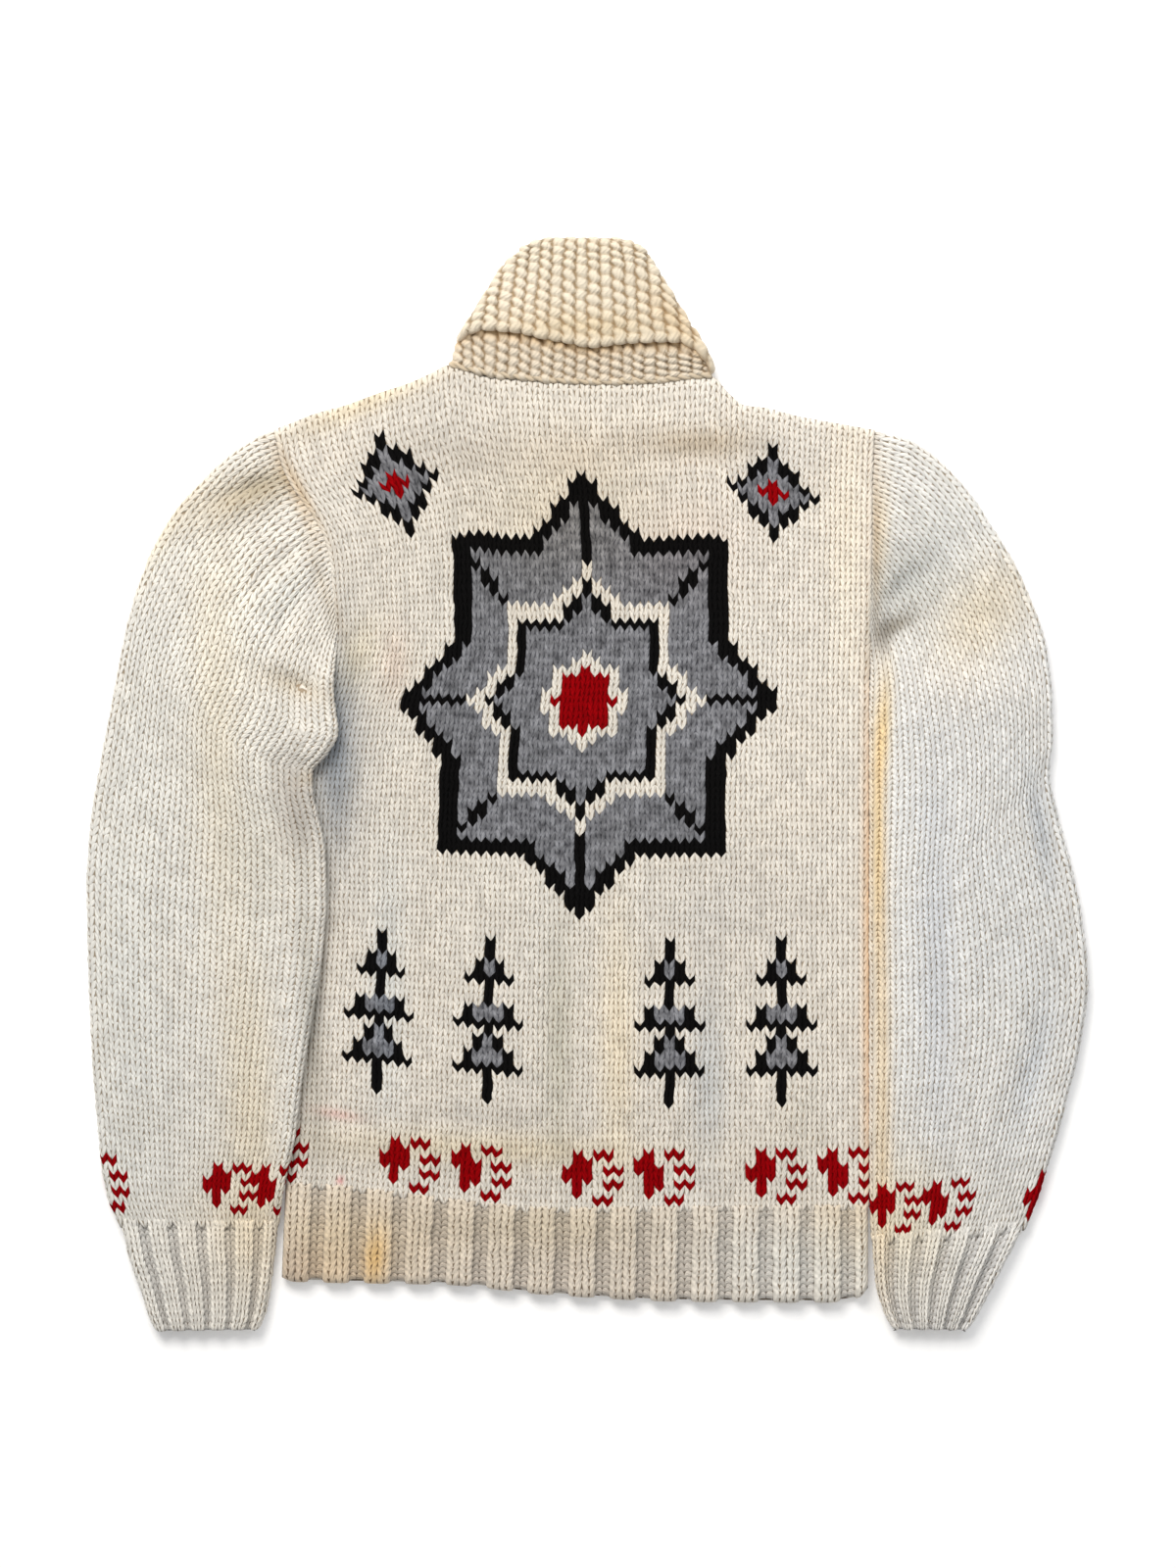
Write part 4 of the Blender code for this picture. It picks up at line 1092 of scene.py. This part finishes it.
neckChain = {"line": ((-93.5, 283.5), (-80.9, 280.4), (-52.0, 275.8), (-24.8, 273.0),
                      (8.9, 271.6), (49.8, 272.9), (70.0, 275.3), (85.0, 276.2)),
             "level": 8.6, "strand": 1.6, "twist": 1.1, "tint": (0.72, 0.69, 0.66),
             "pitch": 15.0, "sides": 8, "step": 1.2}
# Painted shade and light: a warm shade along the middle of the flap's lip, a lighter patch on
# the flap's left, a warm darker patch on its right, and a cooler tone over all.
collarShadeAndLight = (
    (0.3, 317.1, 264, 198, 0, (0.905, 0.925, 0.965)),
    (0.3, 307.2, 46.2, 9.2, 0, (0.907, 0.853, 0.751)),
    (-52.5, 330.3, 19.8, 19.8, 60, (1.077, 1.077, 1.097)),
    (59.7, 310.5, 26.4, 9.2, -45, (0.944, 0.871, 0.768)),
)


def collarRings():
    # Each ring: left, right, how much of the flap's and of the neck's line, inset, half
    # height, middle height, how proud the stitches stand, and how many stitches it is on.
    wall, gap = collar["wall"], collar["gap"]
    half = 2 * wall + gap + collar["slack"]
    standHalf = wall + collar["slack"]
    seamHalf = cloth + seamGap / 2
    drop = wall + gap / 2
    left, right = collar["foldLeft"], collar["foldRight"]
    flapEnds = (collar["flapEdge"][0], collar["flapEdge"][-1])

    def fold(down, spread):
        return (left[0] - spread, left[1] - down), (right[0] + spread, right[1] - down)

    def ring(ends, flap, neck, inset, height, proud, stitches, top=half):
        return (*ends, flap, neck, inset, height - inset, top, proud, stitches)

    def lip(down):
        return [(x, y - down) for x, y in flapEnds]

    underFlap, inside, skin = 2 * wall + gap, wall + gap + 0.8, collar["skin"]
    neck, stand, slope = collar["neck"], collar["stand"], collar["slope"]
    return [
        ring(neck, 0, 1, wall, seamHalf, 0, 0, seamHalf),
        (*stand, 0, 0.6, wall, standHalf - wall, half, 0, 0),
        (*slope, 0.3, 0, underFlap, standHalf - wall, half, 0, 0),
        (*fold(drop, 5.0), 0, 0, underFlap, standHalf - wall, half, 0, 0),
        (*fold(2.6, 2.5), 0, 0, 1.5 * wall + gap, standHalf - 0.5, half, 0, 0.2),
        (*fold(1.2, 0.8), 0, 0, wall, 0.5 * (half + standHalf), half, 0.4, 0.5),
        (*fold(2.4, 2.2), 0, 0, 0.3 * wall + 0.8, half - 2.2, half, 0.8, 0.8),
        ring(fold(drop + 1, 6.0), 0, 0, skin, half, 1, 1.2),
        ring(slope, 0.3, 0, skin, half, 1, 3.6),
        ring(flapEnds, 1, 0, skin, half, 1, 10.0),
        (*lip(2.2), 1, 0, 2.2, half - 2.0, half, 0.9, 10.4),
        ring(lip(2.6), 1, 0, wall - 0.6, half, 0.6, 10.6),
        ring(flapEnds, 1, 0, wall, half, 0, 10.7),
        ring(slope, 0.3, 0, wall, half, 0, 11),
        ring(fold(drop + 1, 6.0), 0, 0, wall, half, 0, 11),
        (*fold(drop + 1, 6.0), 0, 0, inside, standHalf - 0.8, half, 0, 11),
        (*slope, 0.3, 0, inside, standHalf - 0.8, half, 0, 13),
        (*stand, 0, 0.6, 1.0, standHalf - 1.0, half, 1, 18),
        ring(neck, 0, 1, collar["standSkin"], seamHalf, 1, 21.5, seamHalf),
    ]


def offChord(edges, share):
    # How far a line stands off the straight from its first point to its last.
    (leftX, leftY), (rightX, rightY) = edges[0], edges[-1]
    return along(edges, lerp(leftX, rightX, share)) - lerp(leftY, rightY, share)


def collarPoints():
    rings = collarRings()
    around = np.arange(collar["points"] + 1) / collar["points"]
    top = around <= 0.5
    # Nearly even steps over the top from left to right, then back underneath.
    even = np.where(top, around * 2, 2 - around * 2)
    share = lerp(even, 0.5 - 0.5 * np.cos(np.pi * even), collar["crowding"])
    flapLine = offChord(collar["flapEdge"], share)
    (neckLeft, _), (neckRight, _) = collar["neck"]
    neckLine = offChord([row for row in topEdge if neckLeft <= row[0] <= neckRight], share)
    made = []
    for left, right, flap, neck, inset, half, middle, _, _ in rings:
        width = right[0] - left[0] - 2 * inset
        x = lerp(left[0] + inset, right[0] - inset, share)
        y = lerp(left[1], right[1], share) + flap * flapLine + neck * neckLine
        fromSide = np.minimum(share, 1 - share) * width
        if flap == 0 and neck == 0:
            # The fold's corners are rounded off.
            y = y - collar["cornerDrop"] * (1 - roundEdge(fromSide, collar["cornerReach"]))
        z = middle + np.where(top, 1.0, -1.0) * roundEdge(fromSide, half) * half
        made.append(np.stack([x, y, z], axis=1))
    # More points between the rings that show.
    points = []
    proudAndStitch = []
    for i, start in enumerate(rings):
        j = (i + 1) % len(rings)
        end = (*rings[j][:8], rings[j][8] if j else start[8])
        steps = max(1, int(round((end[8] - start[8]) * collar["pointsDown"])))
        if start[7] == 0 and end[7] == 0:
            steps = 1
        for part in np.arange(steps) / steps:
            points.append(lerp(made[i], made[j], part))
            proudAndStitch.append([lerp(start[k], end[k], part) for k in (7, 8)])
    return (np.array(points), *np.array(proudAndStitch).T)


def chainPoints():
    # Two strands of yarn twisted along the neck seam, each a closed tube.
    line = neckChain["line"]
    x = np.arange(line[0][0], line[-1][0], neckChain["step"])
    y = along(line, x)
    sides = neckChain["sides"]
    around = np.arange(sides) * 2 * np.pi / sides
    points, faces = [], []
    for strand in (0, 1):
        turn = 2 * np.pi * x / neckChain["pitch"] + strand * np.pi
        middleY = y + neckChain["twist"] * np.cos(turn)
        middleZ = neckChain["level"] + neckChain["twist"] * np.sin(turn)
        thin = neckChain["strand"] * roundEdge(np.minimum(x - x[0], x[-1] - x) + 0.2, 3.0)
        tubeY = middleY[:, None] + thin[:, None] * np.cos(around)[None, :]
        tubeZ = middleZ[:, None] + thin[:, None] * np.sin(around)[None, :]
        tubeX = np.broadcast_to(x[:, None], tubeY.shape)
        points.append(np.stack([tubeX, tubeY, tubeZ], axis=2).reshape(-1, 3))
        number = np.arange(len(x) * sides).reshape(-1, sides) + strand * len(x) * sides
        closed = np.concatenate([number, number[:, :1]], axis=1)
        faces += facesOf(closed, 0, 0)[0].tolist()
        faces += [number[0].tolist()[::-1], number[-1].tolist()]
    return np.concatenate(points), faces


def makeCollar():
    points, prouds, stitches = collarPoints()
    x, y = points[..., 0], points[..., 1]
    closed = np.concatenate([points[-1:], points, points[:1]], axis=0)
    padded = np.concatenate([closed[:, -2:-1], closed, closed[:, 1:2]], axis=1)
    normal = np.cross(closed[2:] - closed[:-2], padded[1:-1, 2:] - padded[1:-1, :-2])
    normal /= np.maximum(np.linalg.norm(normal, axis=2, keepdims=True), 1e-9)
    # Upright garter ridges of slanting bumps, set half a bump apart from ridge to ridge.
    down = stitches[:, None]
    onFlap = lerp(garter["ridgeAtFold"], garter["ridgeAtEdge"], down / collar["edgeStitch"])
    spread = np.where(down < collar["flapStitches"], onFlap, garter["ridgeOnStand"])
    ridge = x / spread + 40.0
    ridge = ridge + garter["wave"] * np.sin(2 * np.pi * down)
    ridge = ridge + wander(x, y, garter["wanderCell"], garter["wander"][0], 31)
    inRidge = ridge - np.floor(ridge) - 0.5
    lean = down + 40.0 + 0.5 * (np.floor(ridge) % 2) + garter["lean"] * inRidge
    lean = lean + wander(x, y, garter["wanderCell"], garter["wander"][1], 32)
    # The lip is rounded by one last whole bump.
    lipFrom, lipGrowth, lipTo, lipFade = garter["lip"]
    onLip = ease((down - lipFrom) / lipGrowth) * ease((lipTo - down) / lipFade)
    inBump = (lean - np.floor(lean) - 0.5) * (1 - onLip)
    reach = sum(np.abs(2 * part) ** square * size for part, (square, size) in (
        (inRidge, garter["ridgeShape"]), (inBump, garter["bumpShape"])))
    dome = np.clip(1 - garter["domeShape"][0] * reach, 0, 1) ** garter["domeShape"][1]
    share = np.arange(points.shape[1]) / (points.shape[1] - 1)
    fromSide = 2 * np.minimum(np.minimum(share, 1 - share), np.abs(share - 0.5))
    prouds = prouds[:, None] * np.clip(
        fromSide * garter["sideGrowth"], garter["sideHeight"], 1)[None, :]
    plump = np.random.RandomState(23).uniform(*garter["plump"], (64, 128))[
        np.floor(lean).astype(int) % 64, np.floor(ridge).astype(int) % 128]
    outer = points + normal * (garter["bump"] * plump * dome * prouds)[..., None]
    outer[..., 2] = np.maximum(outer[..., 2], leastLevel)

    def tinted(key, weight):
        return lerp(1.0, np.array(garter[key]), weight[..., None])

    # The flap throws a warm shade on the stand just below its edge.
    onStand = ease((down - collar["standStitch"]) / collar["standFade"])
    below = along(collar["flapEdge"], x) - y - garter["shadeFrom"]
    shade = np.exp(-(below / garter["shadeReach"]) ** 2) * onStand
    faceFrom, faceGrowth = garter["face"]
    onFace = ease((down - faceFrom) / faceGrowth) * (down < lipTo)
    # Painted shade in the grooves between the bumps; the stand a little darker, and plumper
    # bumps a little lighter.
    tints = lerp(np.array(garter["grooveShade"]), 1.0, ease(dome * 1.2)[..., None])
    tints = tints * tinted("standTint", onStand) * plump[..., None] ** 0.3
    # A painted glow lights the lip's face, which turns away from the light; the flap's painted
    # shade falls on the stand.
    tints = tints * tinted("lipLight", onFace) * tinted("shadeTint", shade)
    tints = tints * stainShadeAndLightAt(x, y, collarShadeAndLight)

    rows, span = outer.shape[0], outer.shape[1] - 1
    number = np.arange(rows * span).reshape(rows, span)
    number = np.concatenate([number, number[:, :1]], axis=1)
    number, ridge, lean = [np.concatenate([grid, grid[:1]]) for grid in (number, ridge, lean)]
    quads, uv = facesOf(number, 2 * ridge, lean, order=(0, 3, 2, 1))
    chain, chainFaces = chainPoints()
    chainFaces = [[rows * span + i for i in face] for face in chainFaces]
    return makePiece(
        "garter_collar", np.concatenate([outer[:, :span].reshape(-1, 3), chain]),
        quads.tolist() + chainFaces, uv,
        np.concatenate([tints[:, :span].reshape(-1, 3),
                        np.broadcast_to(neckChain["tint"], chain.shape)]), [collarWool])


finishPiece(makeCollar(), "collar", "collar_wool", flat=(0.36, 0.17), held="folded",
            area=0.055)


# Floor, light and camera

studio = {
    "floorSize": 6.0, "floorLevel": -0.0005, "floorGrey": 0.95, "floorGlow": 0.15,
    "worldLight": 0.42, "cameraHeight": 2.2, "frameLength": 1.056,
    "aim": (0.0003, 0.0003), "garmentLevel": 0.01, "sensor": 36.0,
    "lights": {
        "key": {"place": (-0.7, 1.6, 1.9), "size": 1.4, "power": 66.0,
                "colour": (1.0, 0.97, 0.93)},
        "fill": {"place": (1.3, 1.2, 2.0), "size": 1.8, "power": 13.2,
                 "colour": (0.93, 0.96, 1.0)},
    },
}
white = (1.0, 1.0, 1.0, 1.0)
bpy.ops.object.select_all(action="DESELECT")
bpy.ops.mesh.primitive_plane_add(size=studio["floorSize"],
                                 location=(0, 0, studio["floorLevel"]))
bpy.ops.object.transform_apply(location=True, rotation=False, scale=False)
floor = bpy.context.object
floor.name = "studio_floor"
floorLook = bpy.data.materials.new("pale_floor")
floorLook.use_nodes = True
floorShader = floorLook.node_tree.nodes["Principled BSDF"]
floorShader.inputs["Base Color"].default_value = (*[studio["floorGrey"]] * 3, 1.0)
floorShader.inputs["Roughness"].default_value = 0.9
floorShader.inputs["Emission Color"].default_value = white
floorShader.inputs["Emission Strength"].default_value = studio["floorGlow"]
floor.data.materials.append(floorLook)

for name, light in studio["lights"].items():
    lamp = bpy.data.lights.new(name + "_light", "AREA")
    lamp.size = light["size"]
    lamp.energy = light["power"]
    lamp.color = light["colour"]
    lampObject = bpy.data.objects.new(name + "_light", lamp)
    lampObject.location = light["place"]
    lampObject.rotation_euler = (-lampObject.location).to_track_quat("-Z", "Y").to_euler()
    bpy.context.scene.collection.objects.link(lampObject)

world = bpy.data.worlds.new("studio")
world.use_nodes = True
world.node_tree.nodes["Background"].inputs["Color"].default_value = white
world.node_tree.nodes["Background"].inputs["Strength"].default_value = studio["worldLight"]
bpy.context.scene.world = world
bpy.context.scene.view_settings.view_transform = "Standard"

cameraData = bpy.data.cameras.new("camera")
cameraData.sensor_width = studio["sensor"]
cameraData.lens = studio["sensor"] * studio["cameraHeight"] / studio["frameLength"]
camera = bpy.data.objects.new("camera", cameraData)
camera.location = (*studio["aim"], studio["cameraHeight"] + studio["garmentLevel"])
bpy.context.scene.collection.objects.link(camera)
bpy.context.scene.camera = camera
print("stage ready")
